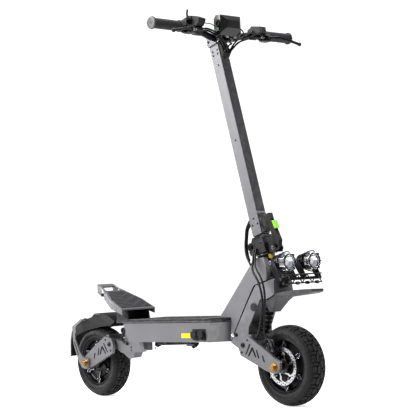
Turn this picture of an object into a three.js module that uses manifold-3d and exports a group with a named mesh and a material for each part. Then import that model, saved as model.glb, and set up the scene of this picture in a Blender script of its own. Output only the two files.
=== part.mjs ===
// Off-road electric kick scooter, folded up to ride. Millimetres: +X forward, +Y to the rider's left, +Z up.
// The origin is on the floor, under the middle of the wheelbase.
import * as THREE from "three";
import { mergeVertices } from "three/addons/utils/BufferGeometryUtils.js";
import Module from "manifold-3d";

const wasm = await Module();
wasm.setup();

// ---------------------------------------------------------------- driving dimensions
const GAP = 0.3;
const WHEELBASE = 960;
const TYRE_R = 127.5;
const TYRE_SEGMENTS = 40;
const TYRE_HALF_WIDTH = 39;
const BEAD_R = 86;
const AXLE_R = 8;
const NUT_R = 11.5;
const RUNNING = 0.05;
const AXLE_X = WHEELBASE / 2;
const AXLE_Z = TYRE_R * Math.cos(Math.PI / TYRE_SEGMENTS);
const ROTOR_R = 60;
const ROTOR_Y = -40;
const ARM_INNER_Y = 64;
const ARM_OUTER_Y = 76;
const STAY_OUTER_Y = 83;

const DECK_HALF_WIDTH = 100;
const DECK_BOTTOM_Z = 205;
const DECK_RIM_Z = 275;
const LID_TOP_Z = 279;
const MAT_TOP_Z = 282;

const RAKE = (13.9 * Math.PI) / 180;
const AXIS_X = 365.9;
const AXIS_Z = 603.5;
const SEAM_TOP_S = -219;
const SEAM_TOP_R = 56.4;
const SEAM_END_S = -372;
const SEAM_SLOPE = 0.965;
const SEAM_GAP = 4;
const NECK_HALF_WIDTH = 50;
const NECK_TAPER = 0.0812;
const STEERER_R = 15;

const FOLD_X = 360;
const FOLD_Z = 505;
const STEM_DEPTH = 42;
const STEM_WIDTH = 40;
const STEM_WALL = 2.5;
const STEM_TOP_S = 595;
const BAR_X = 238;
const BAR_Z = 1204;
const GRIP_Z = 1227;
const BAR_R = 11;
const GRIP_IN_Y = 187;
const GRIP_OUT_Y = 313;

const LAMP_Y = 56;
const LAMP_X = 540;
const LAMP_Z = 451;
const LAMP_R = 29;
const LAMP_HUB_X = 503;
const LAMP_PIN_R = 4.2;

// ---------------------------------------------------------------- finishes
const PAINT = [0x77777b, 0.42, 0.35];
const BLACK = [0x17171a, 0.5, 0.2];
const PLASTIC = [0x1b1b1d, 0.6, 0.0];
const RUBBER = [0x1d1d20, 0.85, 0.0];
const STEEL = [0xc4c4c8, 0.3, 0.9];
const GOLD = [0xb98b3a, 0.35, 0.85];

const root = new THREE.Group();

// ---------------------------------------------------------------- solids
// Turns a closed geometry into a manifold solid whose faces point out.
function solid(geometry) {
  const bare = new THREE.BufferGeometry();
  const source = geometry.index ? geometry.toNonIndexed() : geometry;
  bare.setAttribute("position", source.getAttribute("position"));
  const merged = mergeVertices(bare, 1e-3);
  const positions = merged.attributes.position.array;
  const faces = [];
  const index = merged.index.array;
  for (let i = 0; i < index.length; i += 3) {
    const [a, b, c] = [index[i], index[i + 1], index[i + 2]];
    if (a !== b && b !== c && c !== a) {
      faces.push(a, b, c);
    }
  }
  const build = (triVerts) =>
    new wasm.Manifold(new wasm.Mesh({ numProp: 3, vertProperties: positions, triVerts }));
  const made = build(new Uint32Array(faces));
  if (made.volume() > 0) {
    return made;
  }
  return build(new Uint32Array(faces.reverse()));
}

// Adds one named mesh to the object.
function add(name, shape, [color, roughness, metalness]) {
  const mesh = shape.getMesh();
  const stride = mesh.numProp;
  const positions = new Float32Array(mesh.numVert * 3);
  for (let i = 0; i < mesh.numVert; i++) {
    positions.set(mesh.vertProperties.subarray(i * stride, i * stride + 3), i * 3);
  }
  const geometry = new THREE.BufferGeometry();
  geometry.setAttribute("position", new THREE.BufferAttribute(positions, 3));
  geometry.setIndex(new THREE.BufferAttribute(new Uint32Array(mesh.triVerts), 1));
  geometry.computeVertexNormals();
  const material = new THREE.MeshStandardMaterial({ color, roughness, metalness });
  const node = new THREE.Mesh(geometry, material);
  node.name = name;
  root.add(node);
}

const union = (first, ...rest) => rest.reduce((all, next) => all.add(next), first);
const cut = (first, ...rest) => rest.reduce((all, next) => all.subtract(next), first);

function box(x0, x1, y0, y1, z0, z1) {
  const geometry = new THREE.BoxGeometry(x1 - x0, y1 - y0, z1 - z0);
  geometry.translate((x0 + x1) / 2, (y0 + y1) / 2, (z0 + z1) / 2);
  return solid(geometry);
}

// A closed outline, always counter-clockwise, so that its holes are turned the right way.
function outline(points) {
  const corners = points.map(([a, b]) => new THREE.Vector2(a, b));
  if (THREE.ShapeUtils.isClockWise(corners)) {
    corners.reverse();
  }
  return new THREE.Shape(corners);
}

// A side-view outline [x, z] drawn out from y0 to y1.
function prism(points, y0, y1, holes = []) {
  const shape = outline(points);
  shape.holes = holes.map((hole) => new THREE.Path(hole.map(([a, b]) => new THREE.Vector2(a, b))));
  const geometry = new THREE.ExtrudeGeometry(shape, { depth: y1 - y0, bevelEnabled: false });
  geometry.rotateX(Math.PI / 2);
  geometry.translate(0, y1, 0);
  return solid(geometry);
}

// A plan-view outline [x, y] drawn up from z0 to z1, each corner moved by shift(x, y, z).
function slab(points, z0, z1, shift = (x, y, z) => [x, y, z]) {
  const geometry = new THREE.ExtrudeGeometry(outline(points), { depth: z1 - z0, bevelEnabled: false });
  geometry.translate(0, 0, z0);
  const corners = geometry.getAttribute("position");
  for (let i = 0; i < corners.count; i++) {
    corners.setXYZ(i, ...shift(corners.getX(i), corners.getY(i), corners.getZ(i)));
  }
  return solid(geometry);
}

// A side-view outline whose half width shrinks with height, as the neck's does.
function tapered(points, inset = 0) {
  const geometry = new THREE.ExtrudeGeometry(outline(points), { depth: 2, bevelEnabled: false });
  geometry.rotateX(Math.PI / 2);
  geometry.translate(0, 1, 0);
  const corners = geometry.getAttribute("position");
  for (let i = 0; i < corners.count; i++) {
    const half = neckHalfWidth(corners.getZ(i)) - inset;
    corners.setY(i, corners.getY(i) * half);
  }
  return solid(geometry);
}

function neckHalfWidth(z) {
  return NECK_HALF_WIDTH - NECK_TAPER * (z - DECK_RIM_Z);
}

// A round bar or cone from one point to another.
function rod(from, to, r, sides = 16, endR = r) {
  const start = new THREE.Vector3(...from);
  const along = new THREE.Vector3(...to).sub(start);
  const geometry = new THREE.CylinderGeometry(endR, r, along.length(), sides);
  geometry.translate(0, along.length() / 2, 0);
  const up = new THREE.Vector3(0, 1, 0);
  const turn = new THREE.Quaternion().setFromUnitVectors(up, along.clone().normalize());
  geometry.applyQuaternion(turn);
  geometry.translate(...from);
  return solid(geometry);
}

const crossRod = (x, z, y0, y1, r, sides = 16) => rod([x, y0, z], [x, y1, z], r, sides);

// A round cable or bar that follows points on a smooth curve.
function tube(points, r, sides = 8, steps = 24) {
  const path = new THREE.CatmullRomCurve3(points.map((p) => new THREE.Vector3(...p)), false, "centripetal");
  const section = new THREE.Shape();
  for (let i = 0; i < sides; i++) {
    const angle = (2 * Math.PI * i) / sides;
    const put = i === 0 ? "moveTo" : "lineTo";
    section[put](r * Math.cos(angle), r * Math.sin(angle));
  }
  const options = { steps, extrudePath: path, bevelEnabled: false, curveSegments: 1 };
  return solid(new THREE.ExtrudeGeometry(section, options));
}

// A closed ring turned about the Y axis through [x, z]. The profile is a list of [radius, y].
function turned(profile, x, z, segments = TYRE_SEGMENTS) {
  const points = [...profile, profile[0]].map(([r, y]) => new THREE.Vector2(r, y));
  const geometry = new THREE.LatheGeometry(points, segments);
  geometry.rotateY(Math.PI / segments);
  geometry.translate(x, 0, z);
  return solid(geometry);
}

// ---------------------------------------------------------------- the steering axis
const AXIS_UP = new THREE.Vector3(-Math.sin(RAKE), 0, Math.cos(RAKE));
const AXIS_FORWARD = new THREE.Vector3(Math.cos(RAKE), 0, Math.sin(RAKE));

// The point s along the steering axis and f in front of it, at width y.
function onAxis(s, f = 0, y = 0) {
  return [
    AXIS_X + s * AXIS_UP.x + f * AXIS_FORWARD.x,
    y,
    AXIS_Z + s * AXIS_UP.z + f * AXIS_FORWARD.z,
  ];
}

// A solid turned about the steering axis. The profile is a list of [radius, s].
function turnedOnAxis(profile, segments = 32) {
  const points = [...profile, profile[0]].map(([r, s]) => new THREE.Vector2(r, s));
  const geometry = new THREE.LatheGeometry(points, segments);
  geometry.rotateX(Math.PI / 2);
  geometry.rotateY(-RAKE);
  geometry.translate(AXIS_X, 0, AXIS_Z);
  return solid(geometry);
}

// The space that the fork turns in, grown by a margin. The neck and the deck's nose stay out of it.
function steeringSpace(margin) {
  const end = SEAM_TOP_R + (SEAM_TOP_S - SEAM_END_S) * SEAM_SLOPE;
  const top = SEAM_TOP_S + margin;
  return turnedOnAxis(
    [
      [0, top],
      [SEAM_TOP_R + margin, top],
      [end + margin, SEAM_END_S],
      [end + margin, SEAM_END_S - 160],
      [0, SEAM_END_S - 160],
    ],
    64,
  );
}

// A prism in the stem's own directions: outline of [f, s], f forward of the axis and s along it.
function stemPrism(points, y0, y1) {
  return prism(
    points.map(([f, s]) => {
      const [x, , z] = onAxis(s, f);
      return [x, z];
    }),
    y0,
    y1,
  );
}

function ring(x, z, r, sides) {
  return Array.from({ length: sides }, (_, i) => {
    const angle = (2 * Math.PI * i) / sides;
    return [x + r * Math.cos(angle), z + r * Math.sin(angle)];
  });
}

// ---------------------------------------------------------------- deck
const DECK_OUTLINE = [
  [-231, -100],
  [224, -100],
  [256, -80],
  [269, -50],
  [269, 50],
  [256, 80],
  [224, 100],
  [-231, 100],
];
const DECK_LEAN = { "-231": 28, 224: -17, 256: -28, 269: -8 };

// The deck's ends lean in towards the bottom.
function deckLean(x, y, z) {
  const key = String(Math.round(x));
  const fall = (DECK_RIM_Z - z) / (DECK_RIM_Z - DECK_BOTTOM_Z);
  return [x + (DECK_LEAN[key] ?? 0) * fall, y, z];
}

function scaleOutline(points, byX, byY) {
  const middle = (Math.min(...points.map((p) => p[0])) + Math.max(...points.map((p) => p[0]))) / 2;
  return points.map(([x, y]) => [middle + (x - middle) * byX, y * byY]);
}

function deckEnvelope(grow) {
  const length = 500;
  const wider = scaleOutline(DECK_OUTLINE, 1 + (2 * grow) / length, 1 + grow / DECK_HALF_WIDTH);
  return slab(wider, DECK_BOTTOM_Z - 30, MAT_TOP_Z + grow);
}

function makeDeck() {
  const outer = slab(DECK_OUTLINE, DECK_BOTTOM_Z, DECK_RIM_Z, deckLean);
  const cavity = slab(scaleOutline(DECK_OUTLINE, 0.96, 0.95), DECK_BOTTOM_Z + 5, DECK_RIM_Z + 5);
  const innerCavity = cavity.intersect(box(-198, 226, -95, 95, DECK_BOTTOM_Z + 5, DECK_RIM_Z + 5));
  const [portX0, portX1, portZ0, portZ1] = PORT_PLATE;
  const portHole = box(portX0, portX1, -105, -90, portZ0, portZ1);
  add("deck_shell", union(cut(outer, innerCavity, portHole), kickstandBracket()), PAINT);
  add("deck_lid", slab(DECK_OUTLINE, DECK_RIM_Z + GAP, LID_TOP_Z), PAINT);
  const mat = slab(
    [
      [-224, -94],
      [208, -94],
      [212, -52],
      [212, 52],
      [208, 94],
      [-224, 94],
    ],
    LID_TOP_Z + GAP,
    MAT_TOP_Z,
  );
  add("grip_mat", mat, RUBBER);
  add("battery_pack", box(-120, 150, -80, 80, DECK_BOTTOM_Z + 6, 268), PLASTIC);
  add("controller_pair", box(-192, -132, -80, 80, DECK_BOTTOM_Z + 6, 255), BLACK);
}

// Charge sockets in the near side, each under a cap on a hinge along its upper edge.
const PORT_X = [150, 183];
const PORT_Z = 230;
const PORT_R = 12;
const PORT_PLATE = [PORT_X[0] - 16, PORT_X[1] + 16, PORT_Z - 18, PORT_Z + 18];

function makeChargePorts() {
  const [x0, x1, z0, z1] = PORT_PLATE;
  const plate = box(x0 + GAP, x1 - GAP, -101, -90, z0 + GAP, z1 - GAP);
  const rings = PORT_X.map((x) => crossRod(x, PORT_Z, -108, -100, PORT_R, 20));
  const bores = PORT_X.map((x) => crossRod(x, PORT_Z, -109, -94, PORT_R - 4, 16));
  add("charge_sockets", cut(union(plate, ...rings), ...bores), PLASTIC);
  PORT_X.forEach((x, i) => {
    const cap = crossRod(x, PORT_Z, -114, -108 - GAP, PORT_R + 1, 20);
    const plug = crossRod(x, PORT_Z, -109, -105, PORT_R - 5.5, 12);
    add(i === 0 ? "charge_cap_rear" : "charge_cap_front", union(cap, plug), RUBBER);
  });
}

// ---------------------------------------------------------------- neck and head tube
const NECK_OUTLINE = [
  [214, MAT_TOP_Z + GAP],
  [352, 442],
  [374, 470],
  [431, 470],
  [431, 300],
  [262, 208],
  [214, 208],
];

function makeNeck() {
  const outer = tapered(NECK_OUTLINE);
  const hollow = tapered(
    [
      [240, 270],
      [346, 420],
      [362, 420],
      [262, 270],
    ],
    6,
  );
  const tubeSpace = turnedOnAxis([
    [0, -100],
    [27 + GAP, -100],
    [27 + GAP, -260],
    [0, -260],
  ]);
  add("neck", cut(outer, steeringSpace(SEAM_GAP), deckEnvelope(0.5), hollow, tubeSpace, frontTrim()), PAINT);
  const head = turnedOnAxis([
    [18, -213],
    [27, -213],
    [27, -126],
    [18, -126],
  ]);
  add("head_tube", head, BLACK);
  [
    ["headset_upper", -142, -128],
    ["headset_lower", -211, -197],
  ].forEach(([name, low, high]) => {
    const race = turnedOnAxis([
      [STEERER_R + GAP, low],
      [18 - GAP, low],
      [18 - GAP, high],
      [STEERER_R + GAP, high],
    ]);
    add(name, race, STEEL);
  });
}

// What the neck's outline leaves in front of the head tube.
function frontTrim() {
  return stemPrism(
    [
      [20, -100],
      [120, -100],
      [120, -330],
      [20, -330],
    ],
    -80,
    80,
  );
}

// ---------------------------------------------------------------- fork and crown
const ARM_PIVOT_X = 345;
const ARM_PIVOT_Z = 195;
const PIVOT_TUBE_R = 11;
const FORK_OUTLINE = [
  [380, 400],
  [462, 420],
  [466, 352],
  [430, 338],
  [402, 338],
  [352, 251],
  [349, 214],
  [360, 206],
  [363, 190],
  [356, 178],
  [342, 175],
  [300, 186],
  [262, 206],
  [262, 260],
];

function makeFork() {
  const body = tapered(FORK_OUTLINE).intersect(steeringSpace(0));
  const inside = tapered(
    [
      [330, 236],
      [352, 251],
      [404, 340],
      [404, 350],
      [380, 350],
      [322, 262],
    ],
    7,
  );
  const topCut = turnedOnAxis([
    [0, SEAM_TOP_S + 60],
    [220, SEAM_TOP_S + 60],
    [220, SEAM_TOP_S],
    [0, SEAM_TOP_S],
  ]);
  const pivotBore = crossRod(ARM_PIVOT_X, ARM_PIVOT_Z, -80, 80, PIVOT_TUBE_R + GAP, 24);
  const plugs = [-1, 1].map((side) => crossRod(375, 314.5, side * 40, side * 49.5, 13.5, 20));
  const steererBore = turnedOnAxis([
    [0, -200],
    [14 + GAP, -200],
    [14 + GAP, -262],
    [0, -262],
  ]);
  add("fork", cut(union(body, ...plugs), inside, topCut, pivotBore, steererBore), PAINT);
  const steerer = turnedOnAxis([
    [0, -260],
    [14, -260],
    [14, -216],
    [STEERER_R, -216],
    [STEERER_R, -112],
    [0, -112],
  ]);
  add("steerer", steerer, STEEL);
}

// ---------------------------------------------------------------- swing arms
// A leading arm at the front and a trailing arm at the rear, drawn forwards and mirrored by sign.
function armPlate(sign, corners) {
  const points = corners.map(([x, z]) => [sign * x, z]);
  return [-1, 1].map((side) => {
    const low = side < 0 ? -ARM_OUTER_Y : ARM_INNER_Y;
    const high = side < 0 ? -ARM_INNER_Y : ARM_OUTER_Y;
    const slots = ARM_SLOTS.map((slot) =>
      prism(slot.map(([x, z]) => [sign * x, z]), low - 1, high + 1),
    );
    return cut(prism(points, low, high), ...slots);
  });
}

// The slots that lighten each plate: a slanted one, a peaked one and two that lean the other way.
const ARM_SLOTS = [
  [
    [354, 166],
    [360, 166],
    [380, 198],
    [374, 199],
  ],
  [
    [365, 161],
    [371, 160],
    [387, 180],
    [398, 157],
    [404, 158],
    [391, 188],
    [384, 189],
  ],
  [
    [403, 180],
    [408, 181],
    [417, 155],
    [411, 155],
  ],
  [
    [428, 163],
    [433, 164],
    [441, 142],
    [435, 142],
  ],
];

const ARM_CORNERS = [
  [369, 223],
  [332, 214],
  [322, 190],
  [332, 162],
  [443, 116],
  [480, 106],
  [503, 120],
  [505, 142],
  [427, 191],
];

function makeArm(name, sign, pivotX, color) {
  const plates = armPlate(sign, ARM_CORNERS);
  const pivot = crossRod(pivotX, ARM_PIVOT_Z, -ARM_INNER_Y - 1, ARM_INNER_Y + 1, PIVOT_TUBE_R, 24);
  const bridge = box(-8, 8, -ARM_INNER_Y - 1, ARM_INNER_Y + 1, -7, 7).translate([sign * 366, 0, 221]);
  const bore = crossRod(sign * AXLE_X, AXLE_Z, -100, 100, AXLE_R + GAP, 16);
  const body = cut(union(plates[0], pivot, bridge, plates[1]), bore);
  add(name, body, color);
}

// ---------------------------------------------------------------- wheels
const TYRE_PROFILE = [
  [BEAD_R + GAP, -30],
  [BEAD_R + 2, -33],
  [BEAD_R + 8, -37],
  [BEAD_R + 18, -TYRE_HALF_WIDTH],
  [BEAD_R + 28, -37],
  [TYRE_R - 5, -29],
  [TYRE_R - 1.5, -16],
  [TYRE_R, -6],
];

function mirrored(profile) {
  return [...profile, ...profile.map(([r, y]) => [r, -y]).reverse()];
}

const HUB_PROFILE = [
  [AXLE_R + RUNNING, -37],
  [22, -37],
  [24, -24],
  [54, -22],
  [72, -18],
  [78, -31],
  [BEAD_R, -31],
];

// discSide is +1 when the brake disc sits on the rider's left, and -1 on the right.
function makeWheel(end, x, discSide) {
  add(end + "_tyre", turned(mirrored(TYRE_PROFILE), x, AXLE_Z), RUBBER);
  const hub = turned(mirrored(HUB_PROFILE), x, AXLE_Z);
  add(end + "_hub", hub, BLACK);
  const rotor = makeRotor(x);
  add(end + "_rotor", discSide > 0 ? rotor.mirror([0, 1, 0]) : rotor, STEEL);
}

// The brake disc: an outer band with small holes, on arms round a middle with bolt holes.
function makeRotor(x) {
  const holes = [ring(x, AXLE_Z, 11, 16)];
  const arms = 6;
  for (let i = 0; i < arms; i++) {
    const start = (2 * Math.PI * i) / arms;
    const window = [
      [26, 0.12],
      [45, 0.3],
      [45, 0.62],
      [45, 0.92],
      [26, 0.74],
    ];
    holes.push(
      window.map(([r, turn]) => [
        x + r * Math.cos(start + turn),
        AXLE_Z + r * Math.sin(start + turn),
      ]),
    );
  }
  const small = 12;
  for (let i = 0; i < small; i++) {
    const angle = (2 * Math.PI * i) / small;
    const r = i % 2 ? 50.5 : 55;
    holes.push(ring(x + r * Math.cos(angle), AXLE_Z + r * Math.sin(angle), 1.8, 6));
  }
  const low = ROTOR_Y;
  const high = -37 - GAP;
  return prism(ring(x, AXLE_Z, ROTOR_R, TYRE_SEGMENTS), low, high, holes);
}

// nutY is where the nuts sit: outside the arm plates, or outside the fender's stays.
function makeAxle(name, sign, nutY) {
  const x = sign * AXLE_X;
  const endY = nutY + 12;
  const shaft = crossRod(x, AXLE_Z, -endY, endY, AXLE_R, 16);
  const nuts = [-1, 1].map((side) => {
    const near = side * (nutY + GAP);
    const far = side * (nutY + 9);
    return crossRod(x, AXLE_Z, Math.min(near, far), Math.max(near, far), NUT_R, 6);
  });
  add(name, union(shaft, ...nuts), GOLD);
}

// A brake caliper that straddles the disc, on the inner face of the arm plate on the disc's side.
function makeCaliper(name, sign, angleDeg, discSide) {
  const body = box(-19, 19, -ARM_INNER_Y + GAP, -31.5, 44, 76);
  const slot = box(-25, 25, -41, -36, 30, ROTOR_R + 2.5);
  const lever = box(-6, 22, -62, -52, 70, 82);
  const placed = cut(union(body, lever), slot)
    .rotate([0, 90 - angleDeg, 0])
    .translate([sign * AXLE_X, 0, AXLE_Z]);
  add(name, discSide > 0 ? placed.mirror([0, 1, 0]) : placed, BLACK);
}

// ---------------------------------------------------------------- springs
// A coil spring between two points, as one coil round its own damper rod.
function makeSpring(name, from, to, r) {
  const start = new THREE.Vector3(...from);
  const end = new THREE.Vector3(...to);
  const along = end.clone().sub(start);
  const length = along.length();
  const turns = 6;
  const core = rod([0, 0, 0], [0, 0, length], r * 0.5, 12);
  const discs = Array.from({ length: turns + 1 }, (_, i) => {
    const z = (length - 7) * (i / turns);
    return rod([0, 0, z], [0, 0, z + 7], r, 16);
  });
  const lean = (Math.atan2(along.x, along.z) * 180) / Math.PI;
  const placed = union(core, ...discs)
    .rotate([0, lean, 0])
    .translate(from);
  add(name, placed, BLACK);
}

// ---------------------------------------------------------------- front end
function makeFrontFender() {
  const half = 42;
  const top = [
    [412, 336],
    [470, 345],
    [500, 344],
    [604, 352],
    [612, 356],
    [612, 364],
    [548, 364],
    [490, 358],
    [410, 347],
  ];
  const blade = prism(top, -half, half);
  const taper = slab(
    [
      [405, -44],
      [520, -44],
      [614, -26],
      [614, 26],
      [520, 44],
      [405, 44],
    ],
    250,
    380,
  );
  const chin = prism(
    [
      [412, 336],
      [412, 312],
      [415, 297],
      [429, 296],
      [442, 312],
      [455, 328],
      [480, 348],
    ],
    -half,
    half,
  );
  const chinFront = prism(
    [
      [-14, 288],
      [14, 288],
      [half, 350],
      [half, 380],
      [-half, 380],
      [-half, 350],
    ],
    -620,
    -400,
  ).rotate([0, 0, 90]);
  const body = union(blade, chin).intersect(taper).intersect(chinFront);
  const crownSpace = prism(
    [
      [380, 400],
      [470, 424],
      [470, 356],
      [466, 350],
      [430, 336],
      [398, 336],
      [370, 300],
    ],
    -70,
    70,
  );
  const springSpace = rod([371, 0, 234], [412, 0, 346], 22, 20);
  add("front_fender", cut(body, crownSpace, springSpace), PAINT);
}

function makeLightBracket() {
  const plate = box(474, 536, -26, 26, 396, 401);
  const bar = box(528, 546, -92, 92, 394, 403);
  const ears = [-1, 1].flatMap((side) =>
    [-1, 1].map((edge) => {
      const y = side * LAMP_Y + edge * (LAMP_R + 4.5);
      const points = [
        [528, 394],
        [546, 394],
        [546, 403],
        [518, 456],
        [498, 460],
        [494, 446],
      ];
      return prism(points, y - 2, y + 2);
    }),
  );
  const tongue = prism(
    [
      [455, 424],
      [468, 427],
      [492, 401],
      [500, 396],
      [474, 390],
      [470, 372],
      [467, 372],
      [464, 414],
      [455, 409],
    ],
    -15,
    15,
  );
  const bores = crossRod(LAMP_HUB_X, LAMP_Z, -120, 120, LAMP_PIN_R + GAP, 16);
  const frame = cut(union(plate, bar, ...ears, tongue), forkSpace(), bores);
  add("light_bracket", frame, BLACK);
}

// The crown's outline grown by a touch, so that what bolts to it stays off it.
function forkSpace() {
  return prism(
    [
      [370, 398.5],
      [462.4, 420.8],
      [466.4, 371],
      [466.4, 300],
      [380, 300],
    ],
    -60,
    60,
  ).intersect(steeringSpace(0.4));
}

function makeLamp(name, side) {
  const y = side * LAMP_Y;
  const can = rod([LAMP_HUB_X - 14, y, LAMP_Z], [LAMP_X - 8, y, LAMP_Z], 22, 16, LAMP_R);
  const bezel = rod([LAMP_X - 8.5, y, LAMP_Z], [LAMP_X + 12, y, LAMP_Z], LAMP_R, 24);
  const dish = rod([LAMP_X - 2, y, LAMP_Z], [LAMP_X + 14, y, LAMP_Z], LAMP_R - 5, 24, LAMP_R - 2);
  const hub = crossRod(LAMP_HUB_X, LAMP_Z, y - LAMP_R - 1.5, y + LAMP_R + 1.5, 9, 16);
  const pins = crossRod(LAMP_HUB_X, LAMP_Z, y - LAMP_R - 10, y + LAMP_R + 10, LAMP_PIN_R, 16);
  add(name, cut(union(can, bezel, hub, pins), dish), STEEL);
}

// ---------------------------------------------------------------- folding hinge
const KNUCKLE_R = 14;
const FOLD_PIN_R = 5;
const HINGE_HALF = 32;
const KNUCKLE_HALF = 20;

function makeHinge() {
  const block = prism(
    [
      [352, 488],
      [366, 519],
      [414, 536],
      [431, 478],
      [384, 466],
      [358, 478],
    ],
    -HINGE_HALF,
    HINGE_HALF,
  );
  const lugs = crossRod(FOLD_X, FOLD_Z, -HINGE_HALF, HINGE_HALF, KNUCKLE_R, 20);
  const slot = crossRod(FOLD_X, FOLD_Z, -KNUCKLE_HALF - GAP, KNUCKLE_HALF + GAP, KNUCKLE_R + 1.5, 20);
  const under = box(330, 366, -KNUCKLE_HALF - GAP, KNUCKLE_HALF + GAP, 500, 530);
  const pin = crossRod(FOLD_X, FOLD_Z, -HINGE_HALF - 4, HINGE_HALF + 4, FOLD_PIN_R, 16);
  const ears = [-1, 1].map((side) => {
    const low = side < 0 ? -19 : 13;
    return prism(
      [
        [414, 520],
        [428, 486],
        [452, 486],
        [458, 498],
        [450, 512],
      ],
      low,
      low + 6,
    );
  });
  const earBore = crossRod(LATCH_X, LATCH_Z, -30, 30, LATCH_PIN_R + GAP, 16);
  const steererBore = turnedOnAxis([
    [0, -108],
    [STEERER_R + GAP, -108],
    [STEERER_R + GAP, -160],
    [0, -160],
  ]);
  const headClear = turnedOnAxis([
    [0, -125],
    [60, -125],
    [60, -180],
    [0, -180],
  ]);
  const body = cut(union(block, lugs), slot, under, steererBore, headClear);
  add("hinge_block", cut(union(body, pin, ...ears), earBore), BLACK);
}

function makeStem() {
  const half = STEM_DEPTH / 2;
  const outerTube = stemPrism(
    [
      [-half, -62],
      [half, -62],
      [half, STEM_TOP_S],
      [-half, STEM_TOP_S],
    ],
    -STEM_WIDTH / 2,
    STEM_WIDTH / 2,
  );
  const hollow = stemPrism(
    [
      [-half + STEM_WALL, -90],
      [half - STEM_WALL, -90],
      [half - STEM_WALL, STEM_TOP_S + 5],
      [-half + STEM_WALL, STEM_TOP_S + 5],
    ],
    -STEM_WIDTH / 2 + STEM_WALL,
    STEM_WIDTH / 2 - STEM_WALL,
  );
  const keepWindow = stemPrism(
    [
      [half - 6, -52 - GAP],
      [half + 2, -52 - GAP],
      [half + 2, -8 + GAP],
      [half - 6, -8 + GAP],
    ],
    -12 - GAP,
    12 + GAP,
  );
  add("stem_tube", cut(outerTube, hollow, keepWindow), PAINT);

  const core = STEM_DEPTH / 2 - STEM_WALL - GAP;
  const coreHalf = STEM_WIDTH / 2 - STEM_WALL - GAP;
  const insert = stemPrism(
    [
      [-core, -70],
      [core, -70],
      [core, 10],
      [-core, 10],
    ],
    -coreHalf,
    coreHalf,
  );
  const sole = prism(
    [
      [367, 520.5],
      [413, 536.8],
      [411, 545],
      [356, 534],
      [349, 515],
    ],
    -KNUCKLE_HALF,
    KNUCKLE_HALF,
  );
  const tubeClear = stemPrism(
    [
      [-half - 5, -62 - GAP],
      [half + 60, -62 - GAP],
      [half + 60, 40],
      [-half - 5, 40],
    ],
    -60,
    60,
  );
  const knuckle = crossRod(FOLD_X, FOLD_Z, -KNUCKLE_HALF, KNUCKLE_HALF, KNUCKLE_R, 20);
  const pinBore = crossRod(FOLD_X, FOLD_Z, -40, 40, FOLD_PIN_R + GAP, 16);
  const keep = stemPrism(
    [
      [half + GAP, -58],
      [half + 9, -58],
      [half + 9, -2],
      [half + GAP, 6],
    ],
    -17,
    17,
  );
  const keepRoot = stemPrism(
    [
      [half - 6, -52],
      [half + 2, -52],
      [half + 2, -8],
      [half - 6, -8],
    ],
    -12,
    12,
  );
  const foot = cut(union(cut(sole, tubeClear), insert, knuckle, keepRoot, keep), pinBore);
  add("stem_foot", foot, BLACK);
}

// ---------------------------------------------------------------- latch
const LATCH_X = 443;
const LATCH_Z = 499;
const LATCH_PIN_R = 4;

function makeLatch() {
  const blade = prism(
    [
      [436, 492],
      [446, 491],
      [463, 505],
      [466, 524],
      [454, 548],
      [434, 590],
      [428, 612],
      [418, 612],
      [416, 602],
      [426, 560],
      [438, 528],
      [434, 506],
    ],
    -8,
    8,
  );
  const pin = crossRod(LATCH_X, LATCH_Z, -19, 19, LATCH_PIN_R, 16);
  const tabSpace = prism(
    [
      [424, 553],
      [458, 553],
      [446, 592],
      [414, 592],
    ],
    -5,
    5,
  );
  add("latch_lever", cut(union(blade, pin), tabSpace), PLASTIC);
  const shank = prism(
    [
      [430, 560.5],
      [450, 560.5],
      [438, 586],
      [421, 586],
    ],
    -4.5,
    4.5,
  );
  const thumbPad = prism(
    [
      [449.2, 560.5],
      [455.5, 562],
      [444.5, 587],
      [437.2, 586],
    ],
    -9,
    9,
  );
  add("safety_catch", union(shank, thumbPad), [0x6fc41e, 0.45, 0.0]);
}

// ---------------------------------------------------------------- handlebar
const BAR_ROUTE = [
  [252, -GRIP_OUT_Y + 3, GRIP_Z],
  [250, -GRIP_IN_Y, GRIP_Z],
  [246, -140, 1226],
  [241, -84, 1216],
  [BAR_X, -34, BAR_Z],
  [BAR_X, 34, BAR_Z],
  [241, 84, 1216],
  [246, 140, 1226],
  [250, GRIP_IN_Y, GRIP_Z],
  [252, GRIP_OUT_Y - 3, GRIP_Z],
];

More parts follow.
